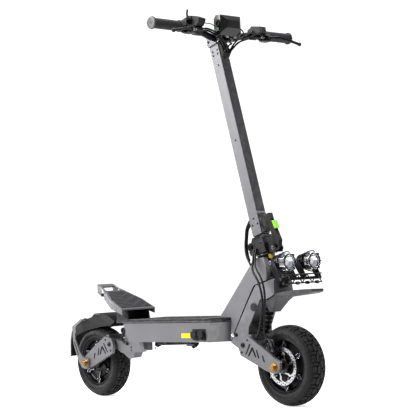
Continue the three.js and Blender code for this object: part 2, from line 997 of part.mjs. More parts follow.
function makeBar() {
  const bar = tube(BAR_ROUTE, BAR_R, 12, 28);
  add("handlebar", bar, BLACK);
  const half = STEM_DEPTH / 2;
  const clamp = stemPrism(
    [
      [-half, STEM_TOP_S + GAP],
      [half, STEM_TOP_S + GAP],
      [half, STEM_TOP_S + 36],
      [half - 8, STEM_TOP_S + 44],
      [-half + 8, STEM_TOP_S + 44],
      [-half, STEM_TOP_S + 34],
    ],
    -26,
    26,
  );
  const plug = stemPrism(
    [
      [-half + STEM_WALL + GAP, STEM_TOP_S - 50],
      [half - STEM_WALL - GAP, STEM_TOP_S - 50],
      [half - STEM_WALL - GAP, STEM_TOP_S + 4],
      [-half + STEM_WALL + GAP, STEM_TOP_S + 4],
    ],
    -STEM_WIDTH / 2 + STEM_WALL + GAP,
    STEM_WIDTH / 2 - STEM_WALL - GAP,
  );
  add("stem_clamp", cut(union(clamp, plug), barSpace(GAP)), BLACK);

  [-1, 1].forEach((side) => {
    const name = side < 0 ? "grip_right" : "grip_left";
    const inner = new THREE.Vector3(250, side * GRIP_IN_Y, GRIP_Z);
    const outward = new THREE.Vector3(252.1, side * GRIP_OUT_Y, GRIP_Z).sub(inner);
    const length = outward.length();
    const bore = BAR_R + 1;
    const profile = [
      [bore, 0],
      [19, 0],
      [19, 9],
      [16.5, 9.5],
      [16.5, length - 7],
      [20.5, length - 6.5],
      [20.5, length],
      [0, length],
      [0, length - 2],
      [bore, length - 2],
    ];
    const points = [...profile, profile[0]].map(([r, t]) => new THREE.Vector2(r, t));
    const geometry = new THREE.LatheGeometry(points, 24);
    const up = new THREE.Vector3(0, 1, 0);
    const turn = new THREE.Quaternion().setFromUnitVectors(up, outward.normalize());
    geometry.applyQuaternion(turn);
    geometry.translate(inner.x, inner.y, inner.z);
    add(name, solid(geometry), RUBBER);
  });
}

function makeDisplay() {
  const hood = prism(
    [
      [246, 1217],
      [258, 1262],
      [268, 1273],
      [290, 1272],
      [307, 1254],
      [304, 1228],
      [284, 1205],
      [262, 1203],
    ],
    -46,
    46,
  );
  const plan = slab(
    [
      [240, -30],
      [258, -46],
      [290, -46],
      [308, -26],
      [308, 26],
      [290, 46],
      [258, 46],
      [240, 30],
    ],
    1200,
    1300,
  );
  const face = prism(
    [
      [238, 1226],
      [251, 1222],
      [263, 1262],
      [250, 1268],
    ],
    -27,
    27,
  );
  add("display", cut(hood.intersect(plan), face, barSpace(2)), PLASTIC);
}

// Pods clamped on the bar, each with a piece that the thumb works.
function makePods() {
  const throttle = union(
    prism(
      [
        [228, 1236],
        [264, 1232],
        [274, 1244],
        [277, 1255],
        [248, 1267],
        [222, 1272],
        [212, 1262],
      ],
      -128,
      -98,
    ),
    crossRod(244, 1221, -124, -96, 17, 16),
  );
  add("throttle_pod", cut(throttle, barSpace(GAP)), PLASTIC);
  const paddle = prism(
    [
      [236, 1262],
      [240, 1254],
      [232, 1244],
      [222, 1240],
      [206, 1250],
      [204, 1256],
      [220, 1258],
    ],
    -148,
    -129,
  );
  const horn = prism(
    [
      [231, 1260],
      [229, 1274],
      [233, 1289],
      [237, 1289],
      [234, 1274],
      [238, 1258],
    ],
    -141,
    -136,
  );
  add("throttle_lever", union(paddle, horn), PLASTIC);
  const pod = union(
    prism(
      [
        [236, 1230],
        [237, 1243],
        [263, 1252],
        [297, 1246],
        [298, 1226],
        [266, 1224],
      ],
      128,
      156,
    ),
    crossRod(247, 1226, 130, 154, 17, 16),
  );
  const well = box(242, 256, 135, 149, 1240, 1270);
  add("switch_pod", cut(pod, barSpace(GAP), well), PLASTIC);
  add("mode_button", box(243, 255, 136, 148, 1241, 1255), RUBBER);
}

// The space that the bar takes, grown by a clearance.
function barSpace(clearance) {
  return tube(BAR_ROUTE, BAR_R + clearance, 12, 28);
}

const LEVER_PIVOT = [276, 170, 1213];
const LEVER_PIN_R = 3;
const LEVER_BEND_Y = 190;
const LEVER_FALL = 0.22;

function makeBrakes() {
  [-1, 1].forEach((side) => {
    const end = side < 0 ? "right" : "left";
    const [px, py, pz] = LEVER_PIVOT;
    const ringClamp = crossRod(250, GRIP_Z, 170, 182, 17, 16);
    const arm = box(250, 284, 168, 182, 1205, 1221);
    const jaw = box(264, 292, 160, 186, 1200, 1226);
    const gapForLever = box(262, 300, 150, 190, 1204.5, 1218 + GAP);
    const pin = rod([px, py, 1201], [px, py, 1225], LEVER_PIN_R, 12);
    const perch = union(cut(union(ringClamp, arm, jaw), gapForLever.translate([4, 0, 0])), pin);
    const perchBody = cut(perch, barSpace(GAP));
    add("brake_perch_" + end, side < 0 ? perchBody.mirror([0, 1, 0]) : perchBody, BLACK);
    const root0 = rod([px, py, 1208.2], [px, py, 1217.8], 8, 16);
    const blade = slab(
      [
        [px - 1, py - 8],
        [px + 9, py - 6],
        [312, 194],
        [322, 214],
        [331, 280],
        [325, 282],
        [314, 222],
        [302, 204],
        [px + 3, py + 7.5],
      ],
      1208.2,
      1217.8,
      (x, y, z) => [x, y, z - Math.max(0, y - LEVER_BEND_Y) * LEVER_FALL],
    );
    const ball = new THREE.SphereGeometry(6.5, 12, 8);
    ball.translate(328, 284, pz - (284 - LEVER_BEND_Y) * LEVER_FALL);
    const bore = rod([px, py, 1200], [px, py, 1226], LEVER_PIN_R + GAP, 12);
    const lever = cut(union(root0, blade, solid(ball)), bore);
    add("brake_lever_" + end, side < 0 ? lever.mirror([0, 1, 0]) : lever, BLACK);
  });
}

// ---------------------------------------------------------------- rear end
function makeRearBlock() {
  const block = prism(
    [
      [-262, 204.5],
      [-262, 165],
      [-301, 163],
      [-325, 176],
      [-363, 182],
      [-363, 206],
      [-345, 213],
      [-300, 204.5],
    ],
    -56,
    56,
  );
  const cheek = prism(
    [
      [-180, 204.5],
      [-172, 176],
      [-184, 167],
      [-301, 163],
      [-301, 204.5],
    ],
    -56,
    -40,
  );
  const wedge = prism(
    [
      [-226, 170],
      [-240, 146],
      [-262, 143],
      [-304, 168],
    ],
    -54,
    -16,
  );
  const bore = crossRod(-ARM_PIVOT_X, ARM_PIVOT_Z, -80, 80, PIVOT_TUBE_R + GAP, 24);
  const upright = prism(
    [
      [-264, 200],
      [-252, 268],
      [-290, 268],
      [-300, 200],
    ],
    -40,
    40,
  );
  add("rear_block", cut(union(block, cheek, wedge, upright), bore, deckEnvelopeLow()), PAINT);
}

function deckEnvelopeLow() {
  const grown = scaleOutline(DECK_OUTLINE, 1.002, 1.01);
  return slab(grown, DECK_BOTTOM_Z - GAP, DECK_RIM_Z + 20, (x, y, z) => {
    const [leanX] = deckLean(x < 0 ? -231 : x, y, z);
    return [x < 0 ? leanX - 1 : x, y, z];
  });
}

const KICK_REAR = [-450, 410];
const KICK_FRONT = [-262, 318];

function kickZ(x) {
  const t = (x - KICK_REAR[0]) / (KICK_FRONT[0] - KICK_REAR[0]);
  return KICK_REAR[1] + t * (KICK_FRONT[1] - KICK_REAR[1]);
}

const KICK_PLAN = [
  [-450, -36],
  [-418, -38],
  [-330, -72],
  [-262, -76],
  [-262, 76],
  [-330, 72],
  [-418, 38],
  [-450, 36],
];

function makeKickPlate() {
  const thick = 5;
  const plate = slab(KICK_PLAN, 0, thick, (x, y, z) => [x, y, kickZ(x) - thick + z]);
  const flangeDepth = 32;
  const skirt = slab(KICK_PLAN, 0, flangeDepth, (x, y, z) => {
    const lower = z === 0 && x > -300 ? 12 : 0;
    return [x, y, kickZ(x) - flangeDepth + z + lower];
  });
  const inner = slab(scaleOutline(KICK_PLAN, 1.2, 0.93), -10, flangeDepth, (x, y, z) => [
    x,
    y,
    kickZ(x) - flangeDepth + z - thick,
  ]);
  const window = slab(
    [
      [-431, -30],
      [-396, -37],
      [-396, 37],
      [-431, 30],
    ],
    300,
    460,
  );
  add("kick_plate", cut(union(plate, skirt), inner, window), PAINT);
  const post = [-1, 1].map((side) =>
    prism(
      [
        [-326, 279],
        [-262, 279],
        [-266, 309],
        [-322, 336],
      ],
      side < 0 ? -52 : 46,
      side < 0 ? -46 : 52,
    ),
  );
  const foot = box(-328, -240, -52, 52, 268 + GAP, 279.5);
  const web = prism(
    [
      [-320, 279],
      [-312, 279],
      [-312, 331],
      [-320, 335],
    ],
    -47,
    47,
  );
  add("kick_plate_post", cut(union(foot, ...post, web), deckEnvelopeTop()), BLACK);
}

function deckEnvelopeTop() {
  return box(-231.5, 300, -120, 120, 200, MAT_TOP_Z + GAP);
}

function makeRearFender() {
  const shell = prism(
    [
      [-373, 266],
      [-400, 283],
      [-440, 294],
      [-474, 295],
      [-520, 284],
      [-565, 267],
      [-604, 251],
      [-615, 238],
      [-625, 205],
      [-630, 148],
      [-623, 147],
      [-618, 203],
      [-608, 230],
      [-598, 242],
      [-562, 258],
      [-518, 275],
      [-472, 286],
      [-442, 285],
      [-406, 268],
      [-384, 255],
    ],
    -40,
    40,
  );
  const walls = [-1, 1].map((side) => {
    const low = side < 0 ? -40 : 36;
    return prism(
      [
        [-376, 262],
        [-400, 282],
        [-440, 293],
        [-474, 294],
        [-520, 283],
        [-565, 266],
        [-602, 250],
        [-614, 236],
        [-606, 216],
        [-584, 224],
        [-540, 238],
        [-497, 246],
        [-440, 255],
        [-396, 258],
      ],
      low,
      low + 4,
    );
  });
  add("rear_fender", union(shell, ...walls), PLASTIC);
  const inner = STAY_OUTER_Y - 6;
  const plates = [-1, 1].map((side) => {
    const low = side < 0 ? -STAY_OUTER_Y : inner;
    return prism(
      [
        [-464, 114],
        [-480, 104],
        [-506, 111],
        [-528, 143],
        [-551, 200],
        [-552, 250],
        [-534, 250],
        [-538, 212],
        [-515, 167],
        [-494, 146],
        [-464, 142],
      ],
      low,
      low + 6,
      [ring(-AXLE_X, AXLE_Z, AXLE_R + GAP, 12)],
    );
  });
  const bridge = prism(
    [
      [-STAY_OUTER_Y, 236],
      [-STAY_OUTER_Y, 259],
      [-43, 285],
      [43, 285],
      [STAY_OUTER_Y, 259],
      [STAY_OUTER_Y, 236],
      [inner, 236],
      [inner, 256],
      [41, 280],
      [-41, 280],
      [-inner, 256],
      [-inner, 236],
    ],
    532,
    552,
  ).rotate([0, 0, 90]);
  add("fender_stays", union(bridge, ...plates), PAINT);
  const light = prism(
    [
      [-616.7, 235],
      [-624.7, 209.6],
      [-630, 211.4],
      [-622.6, 237.6],
    ],
    -22,
    22,
  );
  add("tail_light", light, [0xa01515, 0.25, 0.0]);
}

const STAND_PIN_R = 4;

function makeKickstand() {
  const leg = rod([-62, 70, 192], [-240, 70, 188], 8, 12);
  const foot = rod([-240, 70, 188], [-252, 70, 184], 11, 12);
  const eye = crossRod(-62, 190, 61, 79, 12, 16);
  const tab = prism(
    [
      [-66, 184],
      [-56, 182],
      [-51.5, 172],
      [-57, 170],
    ],
    66,
    74,
  );
  add("kickstand", cut(union(leg, foot, eye, tab), crossRod(-62, 190, 50, 90, STAND_PIN_R + GAP, 12)), BLACK);
}

// Two ears and a pin under the deck, that the stand turns on.
function kickstandBracket() {
  const ears = [box(-76, -48, 54, 60.7, 180, 206), box(-76, -48, 79.3, 86, 180, 206)];
  const pin = crossRod(-62, 190, 52, 88, STAND_PIN_R, 12);
  return union(ears[0], pin, ears[1]);
}

// ---------------------------------------------------------------- cables
function makeCables() {
  const loop = tube(
    [
      [346, -6, 584],
      [330, -10, 566],
      [326, -14, 536],
      [327, -18, 506],
      [338, -26, 480],
      [352, -34, 462],
    ],
    5,
    8,
    16,
  );
  add("cable_loop", loop, RUBBER);
  const upper = tube(
    [
      [280, 152, 1214],
      [276, 120, 1212],
      [276, 90, 1204],
      [274, 50, 1190],
      [270, 24, 1168],
      [262, 8, 1148],
    ],
    3.5,
    8,
    16,
  );
  add("cable_upper", upper, RUBBER);
  const brake = tube(
    [
      [388, -36, 500],
      [392, -46, 470],
      [410, -64, 440],
      [440, -70, 400],
      [452, -72, 350],
      [446, -72, 290],
      [440, -70, 235],
      [446, -60, 216],
    ],
    3.2,
    8,
    24,
  );
  add("cable_brake", brake, RUBBER);
}

makeDeck();
makeChargePorts();
makeNeck();
makeFork();
makeArm("front_arm", 1, ARM_PIVOT_X, PAINT);
makeArm("rear_arm", -1, -ARM_PIVOT_X, PAINT);
makeWheel("front", AXLE_X, -1);
makeWheel("rear", -AXLE_X, 1);
makeAxle("front_axle", 1, ARM_OUTER_Y);
makeAxle("rear_axle", -1, STAY_OUTER_Y);
makeCaliper("front_caliper", 1, 120, -1);
makeCaliper("rear_caliper", -1, 60, 1);
makeSpring("front_spring", [371, 0, 234], [407, 0, 332], 20);
makeSpring("rear_spring", [-357, 0, 238], [-306, 0, 247], 12);
makeFrontFender();
makeLightBracket();
makeLamp("lamp_left", 1);
makeLamp("lamp_right", -1);
makeHinge();
makeStem();
makeLatch();
makeBar();
makeDisplay();
makePods();
makeBrakes();
makeRearBlock();
makeKickPlate();
makeRearFender();
makeKickstand();
makeCables();

export default root;
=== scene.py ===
"""Looks of a folding off-road electric kick scooter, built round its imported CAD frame.

Lengths are metres. +X is forward, +Y is the rider's left and +Z is up.
"""
import sys
import logging
import math
from dataclasses import dataclass
from enum import Enum
from typing import Callable, Iterable, Sequence

import bmesh
import bpy
from mathutils import Matrix, Vector


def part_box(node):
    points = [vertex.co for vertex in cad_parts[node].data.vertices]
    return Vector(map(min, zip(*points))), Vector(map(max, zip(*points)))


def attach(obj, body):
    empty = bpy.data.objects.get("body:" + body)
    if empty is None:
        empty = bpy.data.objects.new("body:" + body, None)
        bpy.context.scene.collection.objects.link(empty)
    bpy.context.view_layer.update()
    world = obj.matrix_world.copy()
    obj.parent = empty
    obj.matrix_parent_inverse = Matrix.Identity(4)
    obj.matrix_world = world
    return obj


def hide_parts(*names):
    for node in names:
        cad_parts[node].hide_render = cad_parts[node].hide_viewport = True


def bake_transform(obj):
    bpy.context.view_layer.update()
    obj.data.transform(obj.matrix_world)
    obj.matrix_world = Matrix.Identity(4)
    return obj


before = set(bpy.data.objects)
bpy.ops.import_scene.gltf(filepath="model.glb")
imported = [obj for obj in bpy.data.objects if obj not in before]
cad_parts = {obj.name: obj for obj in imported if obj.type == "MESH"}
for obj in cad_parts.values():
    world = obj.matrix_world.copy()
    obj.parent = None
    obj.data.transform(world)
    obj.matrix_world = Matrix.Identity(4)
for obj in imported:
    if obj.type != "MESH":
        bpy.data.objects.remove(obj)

LOG = logging.getLogger("scooter")
Point = tuple[float, float, float]
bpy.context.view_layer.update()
MM = 0.001
STEER_RAKE = math.radians(13.9)
STEER_UP = Vector((-math.sin(STEER_RAKE), 0.0, math.cos(STEER_RAKE)))
STEER_FORWARD = Vector((math.cos(STEER_RAKE), 0.0, math.sin(STEER_RAKE)))
STEER_ORIGIN = Vector((0.3659, 0.0, 0.6035))


class Body(str, Enum):
    """The moving bodies that a piece can ride on."""

    CHASSIS = "chassis"
    REAR_ARM = "rear_arm"
    REAR_WHEEL = "rear_wheel"
    STEERING = "steering"
    FRONT_ARM = "front_arm"
    FRONT_WHEEL = "front_wheel"
    LAMP_LEFT = "lamp_left"
    LAMP_RIGHT = "lamp_right"
    STEM = "stem"
    LATCH = "latch"
    CATCH = "safety_catch"
    LEVER_LEFT = "brake_lever_left"
    LEVER_RIGHT = "brake_lever_right"
    THROTTLE = "throttle"
    BUTTON = "mode_button"
    CAP_REAR = "charge_cap_rear"
    CAP_FRONT = "charge_cap_front"
    STAND = "kickstand"


# ---------------------------------------------------------------------------
# Shader building blocks
# ---------------------------------------------------------------------------


class NodeGraph:
    """A small helper that adds and links shader nodes in one tree."""

    def __init__(self, tree: bpy.types.NodeTree) -> None:
        """Keeps the tree to build in.

        Args:
            tree: The node tree that new nodes go into.
        """
        self.tree = tree

    def node(self, kind: str, **values: object) -> bpy.types.Node:
        """Adds a node and sets its attributes.

        Args:
            kind: The node's type name.
            **values: Attributes to set on the node.

        Returns:
            The new node.
        """
        made = self.tree.nodes.new(kind)
        for key, value in values.items():
            setattr(made, key, value)
        return made

    def link(self, source: bpy.types.NodeSocket, target: bpy.types.NodeSocket) -> None:
        """Links one socket to another.

        Args:
            source: The output socket.
            target: The input socket.
        """
        self.tree.links.new(source, target)

    def noise(self, coords: bpy.types.NodeSocket, scale: float, detail: float = 3.0) -> bpy.types.NodeSocket:
        """Adds a noise texture.

        Args:
            coords: The coordinates to read.
            scale: How fine the noise is.
            detail: How many octaves it has.

        Returns:
            The noise value socket.
        """
        made = self.node("ShaderNodeTexNoise")
        made.inputs["Scale"].default_value = scale
        made.inputs["Detail"].default_value = detail
        self.link(coords, made.inputs["Vector"])
        return made.outputs["Fac"]

    def ramp(
        self, value: bpy.types.NodeSocket, low: float, high: float, out: tuple[float, float] = (0.0, 1.0),
    ) -> bpy.types.NodeSocket:
        """Maps a value from one range to another, clamped.

        Args:
            value: The socket to map.
            low: The value that gives the first output.
            high: The value that gives the second output.
            out: The two outputs.

        Returns:
            The mapped value socket.
        """
        made = self.node("ShaderNodeMapRange", clamp=True)
        made.inputs["From Min"].default_value = low
        made.inputs["From Max"].default_value = high
        made.inputs["To Min"].default_value = out[0]
        made.inputs["To Max"].default_value = out[1]
        self.link(value, made.inputs["Value"])
        return made.outputs["Result"]

    def mix(self, factor: bpy.types.NodeSocket, first: object, second: object) -> bpy.types.NodeSocket:
        """Mixes two colours.

        Args:
            factor: The socket that drives the mix.
            first: A colour or a colour socket.
            second: A colour or a colour socket.

        Returns:
            The mixed colour socket.
        """
        made = self.node("ShaderNodeMix", data_type="RGBA")
        self.link(factor, made.inputs[0])
        for index, colour in ((6, first), (7, second)):
            if isinstance(colour, bpy.types.NodeSocket):
                self.link(colour, made.inputs[index])
            else:
                made.inputs[index].default_value = (*colour, 1.0)
        return made.outputs[2]

    def math(self, operation: str, first: object, second: object = 0.0) -> bpy.types.NodeSocket:
        """Adds a math node.

        Args:
            operation: The math operation's name.
            first: A number or a socket.
            second: A number or a socket.

        Returns:
            The result socket.
        """
        made = self.node("ShaderNodeMath", operation=operation)
        for index, value in enumerate((first, second)):
            if isinstance(value, bpy.types.NodeSocket):
                self.link(value, made.inputs[index])
            else:
                made.inputs[index].default_value = value
        return made.outputs[0]


def surface_group() -> bpy.types.NodeTree:
    """Builds the shared group for grain, scuffs on raised edges, dust and an uneven gloss.

    Returns:
        A shader group whose outputs are masks and a height.
    """
    name = "surface_wear"
    if name in bpy.data.node_groups:
        return bpy.data.node_groups[name]
    tree = bpy.data.node_groups.new(name, "ShaderNodeTree")
    sockets = (
        ("Grain Scale", 900.0),
        ("Patch Scale", 9.0),
        ("Streak Scale", 60.0),
        ("Dust", 0.2),
        ("Wear", 0.3),
    )
    for label, value in sockets:
        made = tree.interface.new_socket(label, in_out="INPUT", socket_type="NodeSocketFloat")
        made.default_value = value
    for label in ("Grain", "Patch", "Dust Mask", "Wear Mask"):
        tree.interface.new_socket(label, in_out="OUTPUT", socket_type="NodeSocketFloat")
    graph = NodeGraph(tree)
    entry = graph.node("NodeGroupInput")
    leave = graph.node("NodeGroupOutput")
    coords = graph.node("ShaderNodeTexCoord").outputs["Object"]

    grain = graph.node("ShaderNodeTexNoise")
    grain.inputs["Detail"].default_value = 2.0
    graph.link(coords, grain.inputs["Vector"])
    graph.link(entry.outputs["Grain Scale"], grain.inputs["Scale"])
    graph.link(grain.outputs["Fac"], leave.inputs["Grain"])

    patch = graph.node("ShaderNodeTexNoise")
    patch.inputs["Detail"].default_value = 4.0
    graph.link(coords, patch.inputs["Vector"])
    graph.link(entry.outputs["Patch Scale"], patch.inputs["Scale"])
    graph.link(patch.outputs["Fac"], leave.inputs["Patch"])

    geometry = graph.node("ShaderNodeNewGeometry")
    split = graph.node("ShaderNodeSeparateXYZ")
    graph.link(geometry.outputs["Normal"], split.inputs[0])
    upward = graph.ramp(split.outputs["Z"], 0.2, 1.0)
    speck = graph.ramp(graph.noise(coords, 220.0, 5.0), 0.45, 0.75)
    dust = graph.math("MULTIPLY", graph.math("MULTIPLY", upward, speck), entry.outputs["Dust"])
    graph.link(dust, leave.inputs["Dust Mask"])

    streak = graph.node("ShaderNodeTexNoise")
    streak.inputs["Detail"].default_value = 6.0
    graph.link(coords, streak.inputs["Vector"])
    graph.link(entry.outputs["Streak Scale"], streak.inputs["Scale"])
    edge = graph.ramp(geometry.outputs["Pointiness"], 0.52, 0.6)
    rubbed = graph.math("MULTIPLY", edge, graph.ramp(streak.outputs["Fac"], 0.4, 0.7))
    graph.link(graph.math("MULTIPLY", rubbed, entry.outputs["Wear"]), leave.inputs["Wear Mask"])
    return tree


@dataclass(frozen=True)
class Finish:
    """One finish: a Principled surface with grain, dust, edge wear and an uneven gloss."""

    name: str
    colour: Point
    slot: str
    roughness: float = 0.45
    metallic: float = 0.0
    coat: float = 0.0
    coat_roughness: float = 0.1
    sheen: float = 0.0
    specular: float = 0.3
    grain_scale: float = 900.0
    grain_height: float = 0.00004
    grain_contrast: float = 0.06
    patch_scale: float = 9.0
    gloss_spread: float = 0.06
    dust: float = 0.12
    wear: float = 0.2
    wear_colour: Point = (0.32, 0.32, 0.33)
    flakes: float = 0.0

    def material(self) -> bpy.types.Material:
        """Builds the material once and returns it.

        Returns:
            The finish's material.
        """
        if self.name in bpy.data.materials:
            return bpy.data.materials[self.name]
        made = bpy.data.materials.new(self.name)
        made.use_nodes = True
        graph = NodeGraph(made.node_tree)
        shader = made.node_tree.nodes["Principled BSDF"]
        group = graph.node("ShaderNodeGroup")
        group.node_tree = surface_group()
        group.inputs["Grain Scale"].default_value = self.grain_scale
        group.inputs["Patch Scale"].default_value = self.patch_scale
        group.inputs["Dust"].default_value = self.dust
        group.inputs["Wear"].default_value = self.wear
        self.colour_nodes(graph, group, shader)
        self.gloss_nodes(graph, group, shader)
        shader.inputs["Metallic"].default_value = self.metallic
        shader.inputs["Specular IOR Level"].default_value = self.specular
        shader.inputs["Coat Weight"].default_value = self.coat
        shader.inputs["Coat Roughness"].default_value = self.coat_roughness
        shader.inputs["Sheen Weight"].default_value = self.sheen
        made.diffuse_color = (*self.colour, 1.0)
        return made

    def colour_nodes(self, graph: NodeGraph, group: bpy.types.Node, shader: bpy.types.Node) -> None:
        """Wires the base colour.

        Args:
            graph: The material's graph.
            group: The placed wear group.
            shader: The Principled node.
        """
        darker = tuple(c * (1.0 - self.grain_contrast) for c in self.colour)
        lighter = tuple(min(1.0, c * (1.0 + self.grain_contrast)) for c in self.colour)
        base = graph.mix(graph.ramp(group.outputs["Patch"], 0.35, 0.65), darker, lighter)
        base = self.pattern(graph, base)
        dusty = tuple(min(1.0, c + 0.08) for c in self.colour)
        base = graph.mix(group.outputs["Dust Mask"], base, dusty)
        base = graph.mix(group.outputs["Wear Mask"], base, self.wear_colour)
        graph.link(base, shader.inputs["Base Color"])

    def pattern(self, graph: NodeGraph, base: bpy.types.NodeSocket) -> bpy.types.NodeSocket:
        """Lays the finish's own pattern over the base colour.

        Args:
            graph: The material's graph.
            base: The colour so far.

        Returns:
            The colour with the pattern.
        """
        if not self.flakes:
            return base
        coords = graph.node("ShaderNodeTexCoord").outputs["Object"]
        cells = graph.node("ShaderNodeTexVoronoi", feature="F1")
        cells.inputs["Scale"].default_value = 2600.0
        graph.link(coords, cells.inputs["Vector"])
        bright = graph.ramp(cells.outputs["Color"], 0.55, 1.0, (0.0, self.flakes))
        glint = tuple(min(1.0, c * 1.7) for c in self.colour)
        return graph.mix(bright, base, glint)

    def gloss_nodes(self, graph: NodeGraph, group: bpy.types.Node, shader: bpy.types.Node) -> None:
        """Wires the roughness and the fine bump.

        Args:
            graph: The material's graph.
            group: The placed wear group.
            shader: The Principled node.
        """
        low = max(0.02, self.roughness - self.gloss_spread)
        high = min(1.0, self.roughness + self.gloss_spread)
        rough = graph.ramp(group.outputs["Patch"], 0.3, 0.7, (low, high))
        rough = graph.math("ADD", rough, graph.math("MULTIPLY", group.outputs["Dust Mask"], 0.4))
        graph.link(rough, shader.inputs["Roughness"])
        bump = graph.node("ShaderNodeBump")
        bump.inputs["Strength"].default_value = 1.0
        bump.inputs["Distance"].default_value = self.grain_height
        graph.link(self.height(graph, group.outputs["Grain"]), bump.inputs["Height"])
        graph.link(bump.outputs["Normal"], shader.inputs["Normal"])

    def height(self, graph: NodeGraph, grain: bpy.types.NodeSocket) -> bpy.types.NodeSocket:
        """Gives the height that the bump reads.

        Args:
            graph: The material's graph.
            grain: The fine grain value.

        Returns:
            The height socket.
        """
        return grain


@dataclass(frozen=True)
class BrushedFinish(Finish):
    """A metal with fine brushed lines along one axis."""

    stretch: Point = (1.0, 1.0, 0.04)
    line_scale: float = 1400.0

    def height(self, graph: NodeGraph, grain: bpy.types.NodeSocket) -> bpy.types.NodeSocket:
        """Stretches the grain into brushed lines.

        Args:
            graph: The material's graph.
            grain: The fine grain value.

        Returns:
            The height socket.
        """
        coords = graph.node("ShaderNodeTexCoord").outputs["Object"]
        mapping = graph.node("ShaderNodeMapping")
        mapping.inputs["Scale"].default_value = self.stretch
        graph.link(coords, mapping.inputs["Vector"])
        lines = graph.noise(mapping.outputs["Vector"], self.line_scale, 2.0)
        return graph.math("ADD", grain, lines)


@dataclass(frozen=True)
class TapeFinish(Finish):
    """Grit grip tape with lighter chevron bands pressed in across it."""

    band_pitch: float = 0.032
    band_strength: float = 0.35
    band_slant: float = 0.6

    def pattern(self, graph: NodeGraph, base: bpy.types.NodeSocket) -> bpy.types.NodeSocket:
        """Lays chevron bands and grit specks over the base colour.

        Args:
            graph: The material's graph.
            base: The colour so far.

        Returns:
            The colour with the bands.
        """
        coords = graph.node("ShaderNodeTexCoord").outputs["Object"]
        split = graph.node("ShaderNodeSeparateXYZ")
        graph.link(coords, split.inputs[0])
        across = graph.math("ABSOLUTE", split.outputs["Y"])
        slanted = graph.math("ADD", split.outputs["X"], graph.math("MULTIPLY", across, self.band_slant))
        phase = graph.math("FRACT", graph.math("DIVIDE", slanted, self.band_pitch))
        centred = graph.math("ABSOLUTE", graph.math("SUBTRACT", phase, 0.5))
        band = graph.ramp(centred, 0.34, 0.38, (0.0, self.band_strength))
        lighter = tuple(min(1.0, c * 2.6 + 0.02) for c in self.colour)
        banded = graph.mix(band, base, lighter)
        grit = graph.node("ShaderNodeTexVoronoi", feature="F1")
        grit.inputs["Scale"].default_value = 1500.0
        graph.link(coords, grit.inputs["Vector"])
        speck = graph.ramp(grit.outputs["Color"], 0.7, 1.0, (0.0, 0.5))
        return graph.mix(speck, banded, tuple(min(1.0, c * 3.0) for c in self.colour))


class Glow:
    """A lens, lamp or panel that gives a little light of its own."""

    def __init__(self, name: str, colour: Point, strength: float, slot: str) -> None:
        """Keeps the glow's values.

        Args:
            name: The material's name.
            colour: Its colour.
            strength: How bright it shines.
            slot: The record's material slot.
        """
        self.name = name
        self.colour = colour
        self.strength = strength
        self.slot = slot

    def material(self) -> bpy.types.Material:
        """Builds the material once and returns it.

        Returns:
            The glowing material.
        """
        if self.name in bpy.data.materials:
            return bpy.data.materials[self.name]
        made = bpy.data.materials.new(self.name)
        made.use_nodes = True
        graph = NodeGraph(made.node_tree)
        shader = made.node_tree.nodes["Principled BSDF"]
        coords = graph.node("ShaderNodeTexCoord").outputs["Object"]
        shade = graph.ramp(graph.noise(coords, 400.0), 0.3, 0.7)
        darker = tuple(c * 0.75 for c in self.colour)
        tone = graph.mix(shade, darker, self.colour)
        graph.link(tone, shader.inputs["Base Color"])
        graph.link(tone, shader.inputs["Emission Color"])
        shader.inputs["Emission Strength"].default_value = self.strength
        shader.inputs["Roughness"].default_value = 0.2
        return made


class ClearLens:
    """Clear moulded glass with fine flutes."""

    name = "clear_lens"
    slot = "chrome"

    def material(self) -> bpy.types.Material:
        """Builds the glass once and returns it.

        Returns:
            The glass material.
        """
        if self.name in bpy.data.materials:
            return bpy.data.materials[self.name]
        made = bpy.data.materials.new(self.name)
        made.use_nodes = True
        graph = NodeGraph(made.node_tree)
        shader = made.node_tree.nodes["Principled BSDF"]
        coords = graph.node("ShaderNodeTexCoord").outputs["Object"]
        haze = graph.ramp(graph.noise(coords, 120.0), 0.4, 0.7, (0.02, 0.08))
        graph.link(haze, shader.inputs["Roughness"])
        shader.inputs["Base Color"].default_value = (0.96, 0.97, 1.0, 1.0)
        shader.inputs["Transmission Weight"].default_value = 1.0
        shader.inputs["IOR"].default_value = 1.45
        bump = graph.node("ShaderNodeBump")
        bump.inputs["Distance"].default_value = 0.0001
        graph.link(graph.noise(coords, 300.0, 1.0), bump.inputs["Height"])
        graph.link(bump.outputs["Normal"], shader.inputs["Normal"])
        return made


GREY_PAINT = Finish(
    "satin_grey_paint", (0.15, 0.15, 0.157), "paint", roughness=0.4, metallic=0.45, coat=0.15,
    coat_roughness=0.3, grain_scale=1600.0, grain_contrast=0.03, flakes=0.35, wear=0.25, dust=0.05,
    gloss_spread=0.03, grain_height=0.00002,
)
DARK_PAINT = Finish(
    "charcoal_paint", (0.022, 0.022, 0.025), "black_metal", roughness=0.45, metallic=0.3, coat=0.1,
    coat_roughness=0.35, grain_scale=1500.0, flakes=0.25, wear=0.2,
)
BLACK_METAL = Finish(
    "black_anodised", (0.009, 0.009, 0.01), "black_metal", roughness=0.36, metallic=0.5,
    grain_scale=1800.0, wear=0.35, wear_colour=(0.4, 0.4, 0.42), gloss_spread=0.08,
)
BLACK_PLASTIC = Finish(
    "moulded_black_plastic", (0.01, 0.01, 0.011), "plastic", roughness=0.5, grain_scale=1100.0,
    grain_height=0.00006, wear=0.1, gloss_spread=0.07,
)
GLOSS_PLASTIC = Finish(
    "glossy_black_plastic", (0.007, 0.007, 0.008), "plastic", roughness=0.18, coat=0.5,
    coat_roughness=0.05, grain_height=0.00001, wear=0.05, dust=0.2,
)
